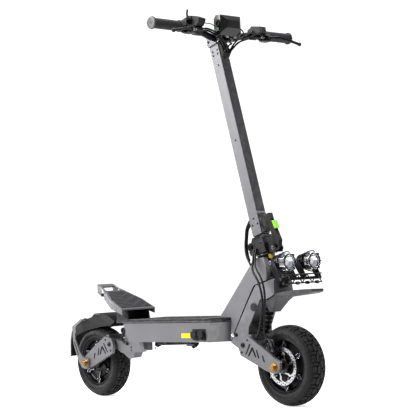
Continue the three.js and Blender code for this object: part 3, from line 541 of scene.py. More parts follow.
RUBBER = Finish(
    "soft_rubber", (0.012, 0.012, 0.013), "rubber", roughness=0.72, grain_scale=700.0,
    grain_height=0.0001, dust=0.2, wear=0.1, wear_colour=(0.1, 0.1, 0.1), sheen=0.1,
)
GRIP_RUBBER = Finish(
    "grip_rubber", (0.022, 0.022, 0.025), "rubber", roughness=0.62, grain_scale=900.0,
    grain_height=0.00008, dust=0.1, wear=0.15, wear_colour=(0.12, 0.12, 0.12), sheen=0.15,
)
CABLE_SKIN = Finish(
    "cable_skin", (0.007, 0.007, 0.008), "rubber", roughness=0.38, grain_scale=1300.0,
    grain_height=0.00002, wear=0.0, gloss_spread=0.1,
)
TYRE_RUBBER = Finish(
    "tyre_rubber", (0.013, 0.013, 0.0145), "tyre", roughness=0.68, grain_scale=500.0,
    grain_height=0.00012, dust=0.25, wear=0.5, wear_colour=(0.04, 0.039, 0.038), patch_scale=30.0,
    grain_contrast=0.2, sheen=0.1,
)
STEEL = BrushedFinish(
    "brushed_steel_disc", (0.5, 0.5, 0.51), "steel", roughness=0.26, metallic=1.0,
    stretch=(1.0, 0.1, 1.0), line_scale=900.0, wear=0.2, wear_colour=(0.85, 0.85, 0.85),
)
SCREW_STEEL = Finish(
    "screw_steel", (0.24, 0.24, 0.25), "steel", roughness=0.3, metallic=1.0, wear=0.2, dust=0.1,
)
DARK_SCREW = Finish(
    "blackened_screw", (0.03, 0.03, 0.032), "black_metal", roughness=0.35, metallic=0.8, wear=0.4,
)
CHROME = Finish(
    "polished_chrome", (0.88, 0.88, 0.9), "chrome", roughness=0.06, metallic=1.0,
    grain_height=0.00001, gloss_spread=0.03, wear=0.0, dust=0.1,
)
CAST_ALLOY = Finish(
    "cast_alloy", (0.3, 0.3, 0.31), "steel", roughness=0.38, metallic=0.9, wear=0.3, dust=0.1,
)
CAP_GREY = Finish(
    "grip_cap_grey", (0.11, 0.11, 0.115), "black_metal", roughness=0.5, metallic=0.2, wear=0.3, dust=0.1,
)
# A darker copy of the grey paint for the front fender: painted shade for the shadow the lamp bracket casts on
# it.
SHADE_DARKENED_FENDER_PAINT = Finish(
    "graphite_paint", (0.062, 0.062, 0.066), "paint", roughness=0.45, metallic=0.4, coat=0.1,
    coat_roughness=0.35, grain_scale=1500.0, grain_contrast=0.03, flakes=0.3, wear=0.25, dust=0.05,
)
GOLD = Finish(
    "gold_zinc", (0.36, 0.19, 0.045), "gold", roughness=0.3, metallic=1.0, wear=0.3,
    wear_colour=(0.85, 0.75, 0.5), gloss_spread=0.08,
)
GREEN_PLASTIC = Finish(
    "green_plastic", (0.22, 0.62, 0.02), "green", roughness=0.32, coat=0.3, coat_roughness=0.1,
    wear=0.05,
)
RED_LENS = Finish(
    "red_lens", (0.5, 0.012, 0.012), "red_lens", roughness=0.12, coat=0.6, coat_roughness=0.04,
    wear=0.0, grain_height=0.00001,
)
YELLOW_FILM = Finish(
    "yellow_film", (0.83, 0.52, 0.01), "green", roughness=0.4, coat=0.2, wear=0.1, dust=0.1,
)
GRIP_TAPE = TapeFinish(
    "grit_tape", (0.02, 0.02, 0.022), "rubber", roughness=0.82, grain_scale=1400.0,
    grain_height=0.0003, dust=0.3, wear=0.3, wear_colour=(0.12, 0.12, 0.12),
)
DECK_TAPE = TapeFinish(
    "deck_tape", (0.045, 0.045, 0.048), "rubber", roughness=0.75, grain_scale=1400.0,
    grain_height=0.00025, dust=0.4, wear=0.3, wear_colour=(0.2, 0.2, 0.2), band_pitch=0.06,
)
CLEAR_LENS = ClearLens()
LED_WHITE = Glow("led_white", (0.9, 0.93, 1.0), 0.35, "chrome")
LED_GREEN = Glow("led_green", (0.02, 0.5, 0.14), 0.5, "green")


# ---------------------------------------------------------------------------
# Mesh making
# ---------------------------------------------------------------------------


def clean(bm: bmesh.types.BMesh) -> None:
    """Merges doubles and turns every face out.

    Args:
        bm: The mesh to clean.
    """
    bmesh.ops.remove_doubles(bm, verts=bm.verts, dist=1e-6)
    bmesh.ops.recalc_face_normals(bm, faces=bm.faces)


def make_piece(
    name: str,
    bm: bmesh.types.BMesh,
    finish: Finish | Glow | ClearLens,
    body: Body,
    replaces: Sequence[str] = (),
    bevel: float = 0.0,
    smooth: float = 35.0,
    segments: int = 2,
) -> bpy.types.Object:
    """Turns a bmesh into a finished piece that rides on a body.

    Args:
        name: The piece's name.
        bm: Its mesh, in the scooter's frame. It is freed.
        finish: The finish it is made in.
        body: The body it moves with.
        replaces: The CAD nodes it stands for.
        bevel: The width of the rounding on its edges, or none.
        smooth: The angle in degrees above which an edge stays sharp.
        segments: How many faces round each edge.

    Returns:
        The new object.
    """
    clean(bm)
    mesh = bpy.data.meshes.new(name)
    bm.to_mesh(mesh)
    bm.free()
    made = bpy.data.objects.new(name, mesh)
    bpy.context.scene.collection.objects.link(made)
    mesh.materials.append(finish.material())
    mesh.shade_smooth()
    if bevel:
        add_bevel(made, bevel, segments)
        freeze(made)
    set_sharp(made, smooth)
    if bevel:
        weighted = made.modifiers.new("flat_faces", "WEIGHTED_NORMAL")
        weighted.keep_sharp = True
        weighted.weight = 100
        freeze(made)
    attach(made, body.value)
    if replaces:
        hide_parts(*replaces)
    LOG.info("%s on %s", name, body.value)
    return made


def add_bevel(piece: bpy.types.Object, width: float, segments: int) -> None:
    """Rounds a piece's edges.

    Args:
        piece: The piece to round.
        width: The rounding's width.
        segments: How many faces round each edge.
    """
    bevel = piece.modifiers.new("round_edges", "BEVEL")
    bevel.width = width
    bevel.segments = segments
    bevel.limit_method = "ANGLE"
    bevel.angle_limit = math.radians(28.0)
    bevel.use_clamp_overlap = True
    bevel.harden_normals = False


def set_sharp(piece: bpy.types.Object, degrees: float) -> None:
    """Shades smooth below an angle and sharp above it.

    Args:
        piece: The piece to shade.
        degrees: The angle.
    """
    mesh = piece.data
    bm = bmesh.new()
    bm.from_mesh(mesh)
    limit = math.radians(degrees)
    for edge in bm.edges:
        edge.smooth = len(edge.link_faces) == 2 and edge.calc_face_angle(0.0) < limit
    bm.to_mesh(mesh)
    bm.free()


def soften(
    node: str,
    finish: Finish,
    body: Body,
    bevel: float = 0.001,
    smooth: float = 35.0,
    segments: int = 2,
    flatten: bool = True,
) -> bpy.types.Object:
    """Makes a rounded copy of a CAD node that stands for it.

    Args:
        node: The CAD node.
        finish: The finish of the copy.
        body: The body it moves with.
        bevel: The width of the rounding.
        smooth: The angle above which an edge stays sharp.
        segments: How many faces round each edge.
        flatten: Whether flat areas become single faces, which one with holes in its walls can't.

    Returns:
        The copy.
    """
    bm = bmesh.new()
    bm.from_mesh(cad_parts[node].data)
    bmesh.ops.remove_doubles(bm, verts=bm.verts, dist=1e-5)
    if flatten:
        bmesh.ops.dissolve_limit(
            bm, angle_limit=math.radians(0.8), verts=bm.verts, edges=bm.edges, use_dissolve_boundaries=False
        )
    return make_piece(node + "_finished", bm, finish, body, (node,), bevel, smooth, segments)


def dress(node: str, finish: Finish | Glow) -> bpy.types.Object:
    """Gives a CAD node a finish and leaves its shape.

    Args:
        node: The CAD node.
        finish: Its finish.

    Returns:
        The node's object.
    """
    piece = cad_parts[node]
    piece.data.materials.clear()
    piece.data.materials.append(finish.material())
    return piece


def add_prism(
    bm: bmesh.types.BMesh, outline: Sequence[tuple[float, float]], low: float, high: float,
    axis: str = "Y",
) -> None:
    """Adds a flat outline drawn out along an axis.

    Args:
        bm: The mesh to add to.
        outline: The corners: (x, z) along Y, (x, y) along Z, (y, z) along X.
        low: Where it starts.
        high: Where it ends.
        axis: The axis it is drawn along.
    """
    place: dict[str, Callable[[float, float, float], Point]] = {
        "Y": lambda a, b, t: (a, t, b),
        "Z": lambda a, b, t: (a, b, t),
        "X": lambda a, b, t: (t, a, b),
    }
    put = place[axis]
    first = [bm.verts.new(put(a, b, low)) for a, b in outline]
    last = [bm.verts.new(put(a, b, high)) for a, b in outline]
    count = len(outline)
    bm.faces.new(first)
    bm.faces.new(list(reversed(last)))
    for i in range(count):
        j = (i + 1) % count
        bm.faces.new((first[j], first[i], last[i], last[j]))


def add_box(bm: bmesh.types.BMesh, low: Point, high: Point) -> None:
    """Adds a box between two corners.

    Args:
        bm: The mesh to add to.
        low: The lowest corner.
        high: The highest corner.
    """
    outline = [(low[0], low[2]), (high[0], low[2]), (high[0], high[2]), (low[0], high[2])]
    add_prism(bm, outline, low[1], high[1])


def basis(direction: Vector) -> Matrix:
    """Returns a turn that takes +Z to a direction.

    Args:
        direction: Where +Z goes.

    Returns:
        The 3 by 3 turn.
    """
    return direction.normalized().to_track_quat("Z", "Y").to_matrix()


def add_turned(
    bm: bmesh.types.BMesh,
    profile: Sequence[tuple[float, float]],
    origin: Sequence[float],
    direction: Sequence[float],
    segments: int = 32,
    closed: bool = False,
    turn: float = 0.0,
) -> None:
    """Adds a shape turned about an axis.

    Args:
        bm: The mesh to add to.
        profile: (radius, distance along the axis) points. A radius of 0 closes an end.
        origin: The start of the axis.
        direction: The axis.
        segments: How many sides it has.
        closed: Whether the profile is a loop that meets itself.
        turn: The angle of its first side, in radians.
    """
    rotate = basis(Vector(direction))
    start = Vector(origin)
    rings: list[list[bmesh.types.BMVert]] = []
    for radius, along in profile:
        if radius <= 1e-9:
            rings.append([bm.verts.new(start + rotate @ Vector((0.0, 0.0, along)))])
            continue
        ring = []
        for k in range(segments):
            angle = turn + 2.0 * math.pi * k / segments
            offset = Vector((radius * math.cos(angle), radius * math.sin(angle), along))
            ring.append(bm.verts.new(start + rotate @ offset))
        rings.append(ring)
    pairs = list(zip(rings, rings[1:]))
    if closed:
        pairs.append((rings[-1], rings[0]))
    for lower, upper in pairs:
        for k in range(segments):
            j = (k + 1) % segments
            if len(lower) == 1 and len(upper) == 1:
                continue
            if len(lower) == 1:
                bm.faces.new((lower[0], upper[k], upper[j]))
            elif len(upper) == 1:
                bm.faces.new((lower[k], upper[0], lower[j]))
            else:
                bm.faces.new((lower[k], lower[j], upper[j], upper[k]))
    if not closed:
        for ring in (rings[0], rings[-1]):
            if len(ring) > 1:
                bm.faces.new(ring)


def smooth_route(points: Sequence[Sequence[float]], steps: int = 6) -> list[Vector]:
    """Rounds a route with a Catmull-Rom curve.

    Args:
        points: The points it passes through.
        steps: How many steps between each two.

    Returns:
        The rounded route.
    """
    knots = [Vector(p) for p in points]
    knots = [2 * knots[0] - knots[1], *knots, 2 * knots[-1] - knots[-2]]
    route = []
    for a, b, c, d in zip(knots, knots[1:], knots[2:], knots[3:]):
        for step in range(steps):
            t = step / steps
            part = 2 * b + (c - a) * t + (2 * a - 5 * b + 4 * c - d) * t * t
            route.append(0.5 * (part + (3 * b - a - 3 * c + d) * t * t * t))
    route.append(knots[-2])
    return route


def add_tube(
    bm: bmesh.types.BMesh,
    points: Sequence[Sequence[float]],
    radius: float | Callable[[float], float],
    sides: int = 12,
    steps: int = 6,
) -> None:
    """Adds a round tube along a smooth route, closed at both ends.

    Args:
        bm: The mesh to add to.
        points: The route's points.
        radius: Its radius, or a function from 0..1 along it to its radius.
        sides: How many sides it has.
        steps: How many steps between each two points.
    """
    route = smooth_route(points, steps)
    tangents = []
    for i in range(len(route)):
        ahead = route[min(i + 1, len(route) - 1)] - route[max(i - 1, 0)]
        tangents.append(ahead.normalized())
    normal = tangents[0].orthogonal().normalized()
    rings = []
    for i, (place, tangent) in enumerate(zip(route, tangents)):
        if i:
            turn = tangents[i - 1].rotation_difference(tangent)
            normal = (turn @ normal).normalized()
        side = tangent.cross(normal).normalized()
        size = radius(i / (len(route) - 1)) if callable(radius) else radius
        rings.append(
            [
                bm.verts.new(
                    place
                    + normal * size * math.cos(2 * math.pi * k / sides)
                    + side * size * math.sin(2 * math.pi * k / sides)
                )
                for k in range(sides)
            ]
        )
    for lower, upper in zip(rings, rings[1:]):
        for k in range(sides):
            j = (k + 1) % sides
            bm.faces.new((lower[k], lower[j], upper[j], upper[k]))
    bm.faces.new(list(reversed(rings[0])))
    bm.faces.new(rings[-1])


def flat_plate(
    name: str,
    loops: Sequence[Sequence[tuple[float, float]]],
    low: float,
    high: float,
    to_frame: Callable[[float, float, float], Point],
) -> bmesh.types.BMesh:
    """Makes a plate with holes from closed loops, through a filled flat curve.

    Args:
        name: A name for the passing curve.
        loops: The outer loop first, then the holes.
        low: The plate's lower face.
        high: The plate's upper face.
        to_frame: Takes the loop's two coordinates and the height to a place.

    Returns:
        The plate's mesh.
    """
    curve = bpy.data.curves.new(name, "CURVE")
    curve.dimensions = "2D"
    curve.fill_mode = "BOTH"
    curve.extrude = (high - low) / 2
    for loop in loops:
        spline = curve.splines.new("POLY")
        spline.points.add(len(loop) - 1)
        for point, (a, b) in zip(spline.points, loop):
            point.co = (a, b, 0.0, 1.0)
        spline.use_cyclic_u = True
    holder = bpy.data.objects.new(name, curve)
    bpy.context.scene.collection.objects.link(holder)
    bpy.context.view_layer.update()
    mesh = bpy.data.meshes.new_from_object(holder.evaluated_get(bpy.context.evaluated_depsgraph_get()))
    bpy.data.objects.remove(holder)
    bpy.data.curves.remove(curve)
    bm = bmesh.new()
    bm.from_mesh(mesh)
    bpy.data.meshes.remove(mesh)
    centre = (low + high) / 2
    for vert in bm.verts:
        vert.co = Vector(to_frame(vert.co.x, vert.co.y, vert.co.z + centre))
    bmesh.ops.remove_doubles(bm, verts=bm.verts, dist=1e-6)
    return bm


def circle(x: float, y: float, radius: float, count: int = 24) -> list[tuple[float, float]]:
    """Returns the corners of a regular polygon.

    Args:
        x: Its centre's first coordinate.
        y: Its centre's second coordinate.
        radius: Its radius.
        count: How many corners it has.

    Returns:
        The corners.
    """
    turns = [2 * math.pi * k / count for k in range(count)]
    return [(x + radius * math.cos(t), y + radius * math.sin(t)) for t in turns]


def side_word(side: float) -> str:
    """Returns the name of a side: -1 is the right and 1 the left."""
    return "right" if side < 0 else "left"


def mm(*values: float) -> Point:
    """Turns millimetres into metres.

    Args:
        *values: The lengths.

    Returns:
        The same lengths in metres.
    """
    return tuple(value * MM for value in values)


def steering_point(s: float, f: float = 0.0, y: float = 0.0) -> Vector:
    """Returns a place beside the steering axis.

    Args:
        s: How far up the axis.
        f: How far in front of it.
        y: How far to the left of it.

    Returns:
        The place.
    """
    return STEER_ORIGIN + STEER_UP * s + STEER_FORWARD * f + Vector((0.0, y, 0.0))


def freeze(piece: bpy.types.Object) -> None:
    """Turns a piece's modifiers into plain mesh.

    Args:
        piece: The piece to freeze.
    """
    bpy.context.view_layer.update()
    shaped = piece.evaluated_get(bpy.context.evaluated_depsgraph_get())
    mesh = bpy.data.meshes.new_from_object(shaped)
    piece.modifiers.clear()
    old = piece.data
    piece.data = mesh
    bpy.data.meshes.remove(old)


# ---------------------------------------------------------------------------
# Geometry Nodes repeats
# ---------------------------------------------------------------------------


class Repeat(Enum):
    """How a template is repeated."""

    RING = "ring"
    ROW = "row"


def repeat_group(kind: Repeat) -> bpy.types.NodeTree:
    """Builds the node group that repeats its input mesh round a ring or along a row.

    Args:
        kind: Whether copies turn about an axis or step along a line.

    Returns:
        The Geometry Nodes group.
    """
    name = "repeat_" + kind.value
    if name in bpy.data.node_groups:
        return bpy.data.node_groups[name]
    tree = bpy.data.node_groups.new(name, "GeometryNodeTree")
    face = tree.interface
    face.new_socket("Geometry", in_out="INPUT", socket_type="NodeSocketGeometry")
    face.new_socket("Count", in_out="INPUT", socket_type="NodeSocketInt")
    face.new_socket("Step", in_out="INPUT", socket_type="NodeSocketVector")
    face.new_socket("Origin", in_out="INPUT", socket_type="NodeSocketVector")
    face.new_socket("Jitter", in_out="INPUT", socket_type="NodeSocketFloat")
    face.new_socket("Material", in_out="INPUT", socket_type="NodeSocketMaterial")
    face.new_socket("Geometry", in_out="OUTPUT", socket_type="NodeSocketGeometry")
    graph = NodeGraph(tree)
    entry = graph.node("NodeGroupInput")
    leave = graph.node("NodeGroupOutput")
    points = graph.node("GeometryNodePoints")
    graph.link(entry.outputs["Count"], points.inputs["Count"])
    index = graph.node("GeometryNodeInputIndex")
    wobble = graph.node("FunctionNodeRandomValue", data_type="FLOAT")
    wobble.inputs["Seed"].default_value = 7
    spread = graph.node("ShaderNodeMath", operation="MULTIPLY")
    centred = graph.node("ShaderNodeMath", operation="SUBTRACT")
    graph.link(wobble.outputs[1], centred.inputs[0])
    centred.inputs[1].default_value = 0.5
    graph.link(centred.outputs[0], spread.inputs[0])
    graph.link(entry.outputs["Jitter"], spread.inputs[1])
    place = graph.node("ShaderNodeMath", operation="ADD")
    graph.link(index.outputs[0], place.inputs[0])
    graph.link(spread.outputs[0], place.inputs[1])
    scaled = graph.node("ShaderNodeVectorMath", operation="SCALE")
    graph.link(entry.outputs["Step"], scaled.inputs[0])
    graph.link(place.outputs[0], scaled.inputs["Scale"])
    copies = graph.node("GeometryNodeInstanceOnPoints")
    centre = graph.node("ShaderNodeVectorMath", operation="SCALE")
    centre.inputs["Scale"].default_value = -1.0
    graph.link(entry.outputs["Origin"], centre.inputs[0])
    shifted = graph.node("GeometryNodeTransform")
    graph.link(entry.outputs["Geometry"], shifted.inputs["Geometry"])
    graph.link(centre.outputs[0], shifted.inputs["Translation"])
    graph.link(points.outputs[0], copies.inputs["Points"])
    graph.link(shifted.outputs[0], copies.inputs["Instance"])
    if kind is Repeat.RING:
        turn = graph.node("FunctionNodeEulerToRotation")
        graph.link(scaled.outputs[0], turn.inputs[0])
        graph.link(turn.outputs[0], copies.inputs["Rotation"])
        moved = copies.outputs[0]
    else:
        slide = graph.node("GeometryNodeTranslateInstances")
        graph.link(copies.outputs[0], slide.inputs[0])
        graph.link(scaled.outputs[0], slide.inputs["Translation"])
        moved = slide.outputs[0]
    back = graph.node("GeometryNodeTransform")
    real = graph.node("GeometryNodeRealizeInstances")
    graph.link(moved, real.inputs[0])
    graph.link(real.outputs[0], back.inputs["Geometry"])
    graph.link(entry.outputs["Origin"], back.inputs["Translation"])
    paint = graph.node("GeometryNodeSetMaterial")
    graph.link(back.outputs[0], paint.inputs["Geometry"])
    graph.link(entry.outputs["Material"], paint.inputs["Material"])
    graph.link(paint.outputs[0], leave.inputs[0])
    return tree


def repeated(
    bm: bmesh.types.BMesh,
    kind: Repeat,
    count: int,
    step: Sequence[float],
    origin: Sequence[float] = (0.0, 0.0, 0.0),
    jitter: float = 0.0,
    finish: Finish | None = None,
) -> bmesh.types.BMesh:
    """Repeats a template mesh through Geometry Nodes and returns the whole.

    Args:
        bm: The template. It is freed.
        kind: Ring or row.
        count: How many copies.
        step: The turn in radians or the shift in metres from one copy to the next.
        origin: The point that a ring turns about.
        jitter: How far a copy strays, as a share of a step.
        finish: The finish set on the copies.

    Returns:
        A new mesh that holds every copy.
    """
    clean(bm)
    mesh = bpy.data.meshes.new("template")
    bm.to_mesh(mesh)
    bm.free()
    holder = bpy.data.objects.new("template", mesh)
    bpy.context.scene.collection.objects.link(holder)
    modifier = holder.modifiers.new("repeat", "NODES")
    tree = repeat_group(kind)
    modifier.node_group = tree
    values = {"Count": count, "Step": tuple(step), "Origin": tuple(origin), "Jitter": jitter}
    if finish:
        values["Material"] = finish.material()
    for item in tree.interface.items_tree:
        if item.item_type == "SOCKET" and item.in_out == "INPUT" and item.name in values:
            modifier[item.identifier] = values[item.name]
    bpy.context.view_layer.update()
    shaped = holder.evaluated_get(bpy.context.evaluated_depsgraph_get())
    result = bpy.data.meshes.new_from_object(shaped)
    whole = bmesh.new()
    whole.from_mesh(result)
    bpy.data.meshes.remove(result)
    bpy.data.objects.remove(holder)
    bpy.data.meshes.remove(mesh)
    return whole


def merge(*parts: bmesh.types.BMesh) -> bmesh.types.BMesh:
    """Joins meshes into the first one.

    Args:
        *parts: The meshes. All but the first are freed.

    Returns:
        The first mesh with the others in it.
    """
    whole = parts[0]
    for part in parts[1:]:
        mesh = bpy.data.meshes.new("part")
        part.to_mesh(mesh)
        part.free()
        whole.from_mesh(mesh)
        bpy.data.meshes.remove(mesh)
    return whole


# ---------------------------------------------------------------------------
# Small hardware
# ---------------------------------------------------------------------------


def make_bending(
    name: str,
    bm: bmesh.types.BMesh,
    finish: Finish,
    bodies: tuple[Body, Body],
    replaces: Sequence[str] = (),
    smooth: float | None = 50.0,
) -> bpy.types.Object:
    """Turns a bmesh into a piece that spans two bodies; it is baked in place and parented to neither.

    Args:
        name: The piece's name.
        bm: Its mesh, in the scooter's frame. It is freed.
        finish: The finish it is made in.
        bodies: The bodies at its two ends, which are only logged.
        replaces: The CAD nodes it stands for.
        smooth: The angle in degrees above which an edge stays sharp, or none.

    Returns:
        The new object.
    """
    clean(bm)
    mesh = bpy.data.meshes.new(name)
    bm.to_mesh(mesh)
    bm.free()
    made = bpy.data.objects.new(name, mesh)
    bpy.context.scene.collection.objects.link(made)
    mesh.materials.append(finish.material())
    mesh.shade_smooth()
    if smooth is not None:
        set_sharp(made, smooth)
    if replaces:
        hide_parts(*replaces)
    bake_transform(made)
    LOG.info("%s between %s and %s", name, bodies[0].value, bodies[1].value)
    return made


@dataclass(frozen=True)
class SocketScrew:
    """A socket head screw: a washer, a domed head and a hexagonal recess."""

    radius: float = 0.0035
    height: float = 0.0028
    washer: float = 1.35

    def add(self, bm: bmesh.types.BMesh, place: Sequence[float], direction: Sequence[float]) -> None:
        """Adds the screw to a mesh.

        Args:
            bm: The mesh to add to.
            place: Where its washer sits.
            direction: The way its head faces.
        """
        r, h = self.radius, self.height
        sink = -0.0015
        profile = (
            (r * self.washer, sink),
            (r * self.washer, 0.0005),
            (r * 1.02, 0.0007),
            (r, h * 0.7),
            (r * 0.86, h),
            (r * 0.55, h),
            (r * 0.5, h * 0.45),
            (0.0, h * 0.4),
        )
        add_turned(bm, profile, place, direction, segments=18)


def screws(
    name: str,
    places: Iterable[Sequence[float]],
    direction: Sequence[float],
    body: Body,
    finish: Finish,
    screw: SocketScrew = SocketScrew(),
) -> bpy.types.Object:
    """Makes one piece of several screws that face the same way.

    Args:
        name: The piece's name.
        places: Where the screws sit.
        direction: The way their heads face.
        body: The body they ride on.
        finish: Their finish.
        screw: Their size.

    Returns:
        The piece.
    """
    bm = bmesh.new()
    for place in places:
        screw.add(bm, place, direction)
    return make_piece(name, bm, finish, body, smooth=40.0)


def cable(
    name: str,
    points: Sequence[Point],
    radius: float,
    body: Body,
    finish: Finish | None = None,
    ends: bool = True,
) -> bpy.types.Object:
    """Makes a cable with a ferrule at each end.

    Args:
        name: The piece's name.
        points: Its route in millimetres.
        radius: Its radius in metres.
        body: The body it rides on.
        finish: Its finish.
        ends: Whether it has ferrules.

    Returns:
        The piece.
    """
    bm = bmesh.new()
    route = [mm(*p) for p in points]
    add_tube(bm, route, radius, sides=12, steps=10)
    if ends:
        for tip, inner in ((route[0], route[1]), (route[-1], route[-2])):
            way = (Vector(inner) - Vector(tip)).normalized()
            sleeve = (
                (radius * 1.35, -0.002), (radius * 1.45, 0.001), (radius * 1.45, 0.012),
                (radius * 1.1, 0.016),
            )
            add_turned(bm, sleeve, tip, way, segments=16)
    return make_piece(name, bm, finish or CABLE_SKIN, body, smooth=50.0)


# ---------------------------------------------------------------------------
# Sub-assemblies
# ---------------------------------------------------------------------------


@dataclass
class Deck:
    """The battery tray, its lid and mat, the charge ports and the kickstand."""

    tape_pitch: float = 0.045
    ports_x: tuple[float, float] = (0.150, 0.183)
    port_z: float = 0.230
    cap_radius: float = 0.0135
    floor_z: float = 0.205
    rim_z: float = 0.275
    corner_near: tuple[float, float] = (0.224, 0.100)
    corner_far: tuple[float, float] = (0.256, 0.080)
    corner_lean: tuple[float, float] = (0.017, 0.028)

    def build(self) -> None:
        """Builds the tray, lid, mat and what is on them."""
        soften("deck_shell", GREY_PAINT, Body.CHASSIS, 0.0022, 30.0, 3, flatten=False)
        soften("deck_lid", DARK_PAINT, Body.CHASSIS, 0.001)
        soften("grip_mat", DECK_TAPE, Body.CHASSIS, 0.0008)
        soften("battery_pack", BLACK_PLASTIC, Body.CHASSIS, 0.003)
        soften("controller_pair", CAST_ALLOY, Body.CHASSIS, 0.002)
        soften("kickstand", BLACK_METAL, Body.STAND, 0.0006)
        self.mat_ribs()
        self.lid_screws()
        self.side_trim()
        self.corner_plates()
        self.charge_ports()
        self.underside()

    def mat_ribs(self) -> None:
        """Adds low grip bars across the mat, worked out from its box."""
        low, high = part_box("grip_mat")
        bm = bmesh.new()
        half = high.y - 0.022
        start = low.x + 0.02
        profile = [(-half, 0.0), (-half + 0.004, 0.0012), (half - 0.004, 0.0012), (half, 0.0)]
        add_prism(bm, [(y, high.z - 0.0004 + z) for y, z in profile], start, start + 0.009, "X")
        count = int((high.x - low.x - 0.05) / self.tape_pitch)
        ribs = repeated(bm, Repeat.ROW, count, (self.tape_pitch, 0.0, 0.0), finish=RUBBER)
        make_piece("mat_ribs", ribs, RUBBER, Body.CHASSIS, smooth=20.0)

    def lid_screws(self) -> None:
        """Adds a row of screws along each edge of the lid."""
        low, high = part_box("deck_lid")
        pitch = (high.x - low.x - 0.10) / 6
        for side in (-1, 1):
            bm = bmesh.new()
            SocketScrew(0.0026, 0.0012).add(
                bm, (low.x + 0.03, side * (high.y - 0.003), high.z - 0.0005), (0, 0, 1),
            )
            row = repeated(bm, Repeat.ROW, 7, (pitch, 0.0, 0.0), finish=DARK_SCREW)
            make_piece(f"lid_screws_{side_word(side)}", row, DARK_SCREW, Body.CHASSIS)

    def side_trim(self) -> None:
        """Adds the rolled bead under the lid's rim."""
        bead_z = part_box("deck_lid")[0].z - 0.0035
        bm = bmesh.new()
        rim = self.rim_outline()
        for a, b in zip(rim, rim[1:] + rim[:1]):
            start, end = Vector((*a, bead_z)), Vector((*b, bead_z))
            add_tube(bm, (start, start.lerp(end, 0.5), end), 0.0024, sides=10, steps=2)
        make_piece("deck_rim_bead", bm, DARK_PAINT, Body.CHASSIS, smooth=60.0)

    def corner_plates(self) -> None:
        """Lays a thin plate on each of the tray's two front corner facets."""
        bm = bmesh.new()
        for side in (-1, 1):
            near, far = ((x, side * y) for x, y in (self.corner_near, self.corner_far))
            near_lean, far_lean = self.corner_lean
            corners = (
                Vector((near[0] - near_lean, near[1], self.floor_z)),
                Vector((far[0] - far_lean, far[1], self.floor_z)),
                Vector((far[0], far[1], self.rim_z)),
                Vector((near[0], near[1], self.rim_z)),
            )
            out = Vector((0.6, side * 0.78, -0.18))
            shell = [
                [bm.verts.new(corner + out * depth) for corner in corners] for depth in (0.0006, -0.0012)
            ]
            for a, b, c in ((0, 1, 3), (1, 2, 3)):
                for layer in shell:
                    bm.faces.new((layer[a], layer[b], layer[c]))
            for k in range(4):
                j = (k + 1) % 4
                bm.faces.new((shell[0][k], shell[0][j], shell[1][j], shell[1][k]))
        make_piece("deck_corner_plates", bm, GREY_PAINT, Body.CHASSIS, smooth=20.0)

    def rim_outline(self) -> list[tuple[float, float]]:
        """Returns the lid's plan corners, read from the lid's own vertices."""
        low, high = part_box("deck_lid")
        corners = {}
        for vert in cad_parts["deck_lid"].data.vertices:
            if vert.co.z > high.z - 0.0005:
                corners[(round(vert.co.x, 4), round(vert.co.y, 4))] = True
        middle = (low + high) / 2
        return sorted(corners, key=lambda c: math.atan2(c[1] - middle.y, c[0] - middle.x))

    def charge_ports(self) -> None:
        """Adds the socket plate, the two ribbed caps and a yellow film on the tray's side."""
        soften("charge_sockets", BLACK_PLASTIC, Body.CHASSIS, 0.0006)
        for name, body, x in (
            ("charge_cap_rear", Body.CAP_REAR, self.ports_x[0]),
            ("charge_cap_front", Body.CAP_FRONT, self.ports_x[1]),
        ):
            low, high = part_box(name)
            face = low.y
            r = self.cap_radius
            profile = (
                (r * 0.55, high.y - low.y - 0.003),
                (r * 0.55, 0.0061),
                (r * 0.97, 0.006),
                (r, 0.0045),
                (r, 0.0018),
                (r * 0.93, 0.0003),
                (r * 0.8, 0.0),
                (r * 0.76, 0.0012),
                (r * 0.3, 0.0012),
                (r * 0.24, 0.0004),
                (0.0, 0.0004),
            )
            bm = bmesh.new()
            add_turned(bm, profile, (x, face, self.port_z), (0, 1, 0), segments=40)
            rib = bmesh.new()
            add_box(
                rib, (x - 0.0006, face + 0.0012, self.port_z + r - 0.0006),
                (x + 0.0006, face + 0.005, self.port_z + r + 0.0006),
            )
            step = (0.0, 2 * math.pi / 28, 0.0)
            ribs = repeated(rib, Repeat.RING, 28, step, (x, 0.0, self.port_z), finish=RUBBER)
            make_piece(name + "_finished", merge(bm, ribs), RUBBER, body, (name,), smooth=35.0)
        tag = bmesh.new()
        low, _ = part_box("deck_shell")
        add_box(tag, (0.078, low.y - 0.0004, 0.2195), (0.125, low.y + 0.0004, 0.2345))
        make_piece("side_film", tag, YELLOW_FILM, Body.CHASSIS, bevel=0.0002)

    def underside(self) -> None:
        """Adds cable clips, a cable and bolts under the tray."""
        clip = bmesh.new()
        add_box(clip, (-0.03, -0.09, 0.1975), (-0.012, -0.078, 0.2055))
        clips = repeated(clip, Repeat.ROW, 3, (0.062, 0.0, 0.0), finish=BLACK_PLASTIC)
        make_piece("deck_cable_clips", clips, BLACK_PLASTIC, Body.CHASSIS, bevel=0.001)
        cable(
            "deck_under_cable",
            [
                (-60, -84, 200), (0, -84, 199), (60, -84, 200), (118, -82, 199), (124, -80, 190),
                (128, -72, 200),
            ],
            0.0028,
            Body.CHASSIS,
        )
        places = [(x, y, 0.2052) for x in (-0.16, 0.0, 0.16) for y in (-0.045, 0.045)]
        screws("deck_under_screws", places, (0, 0, -1), Body.CHASSIS, DARK_SCREW, SocketScrew(0.004, 0.002))


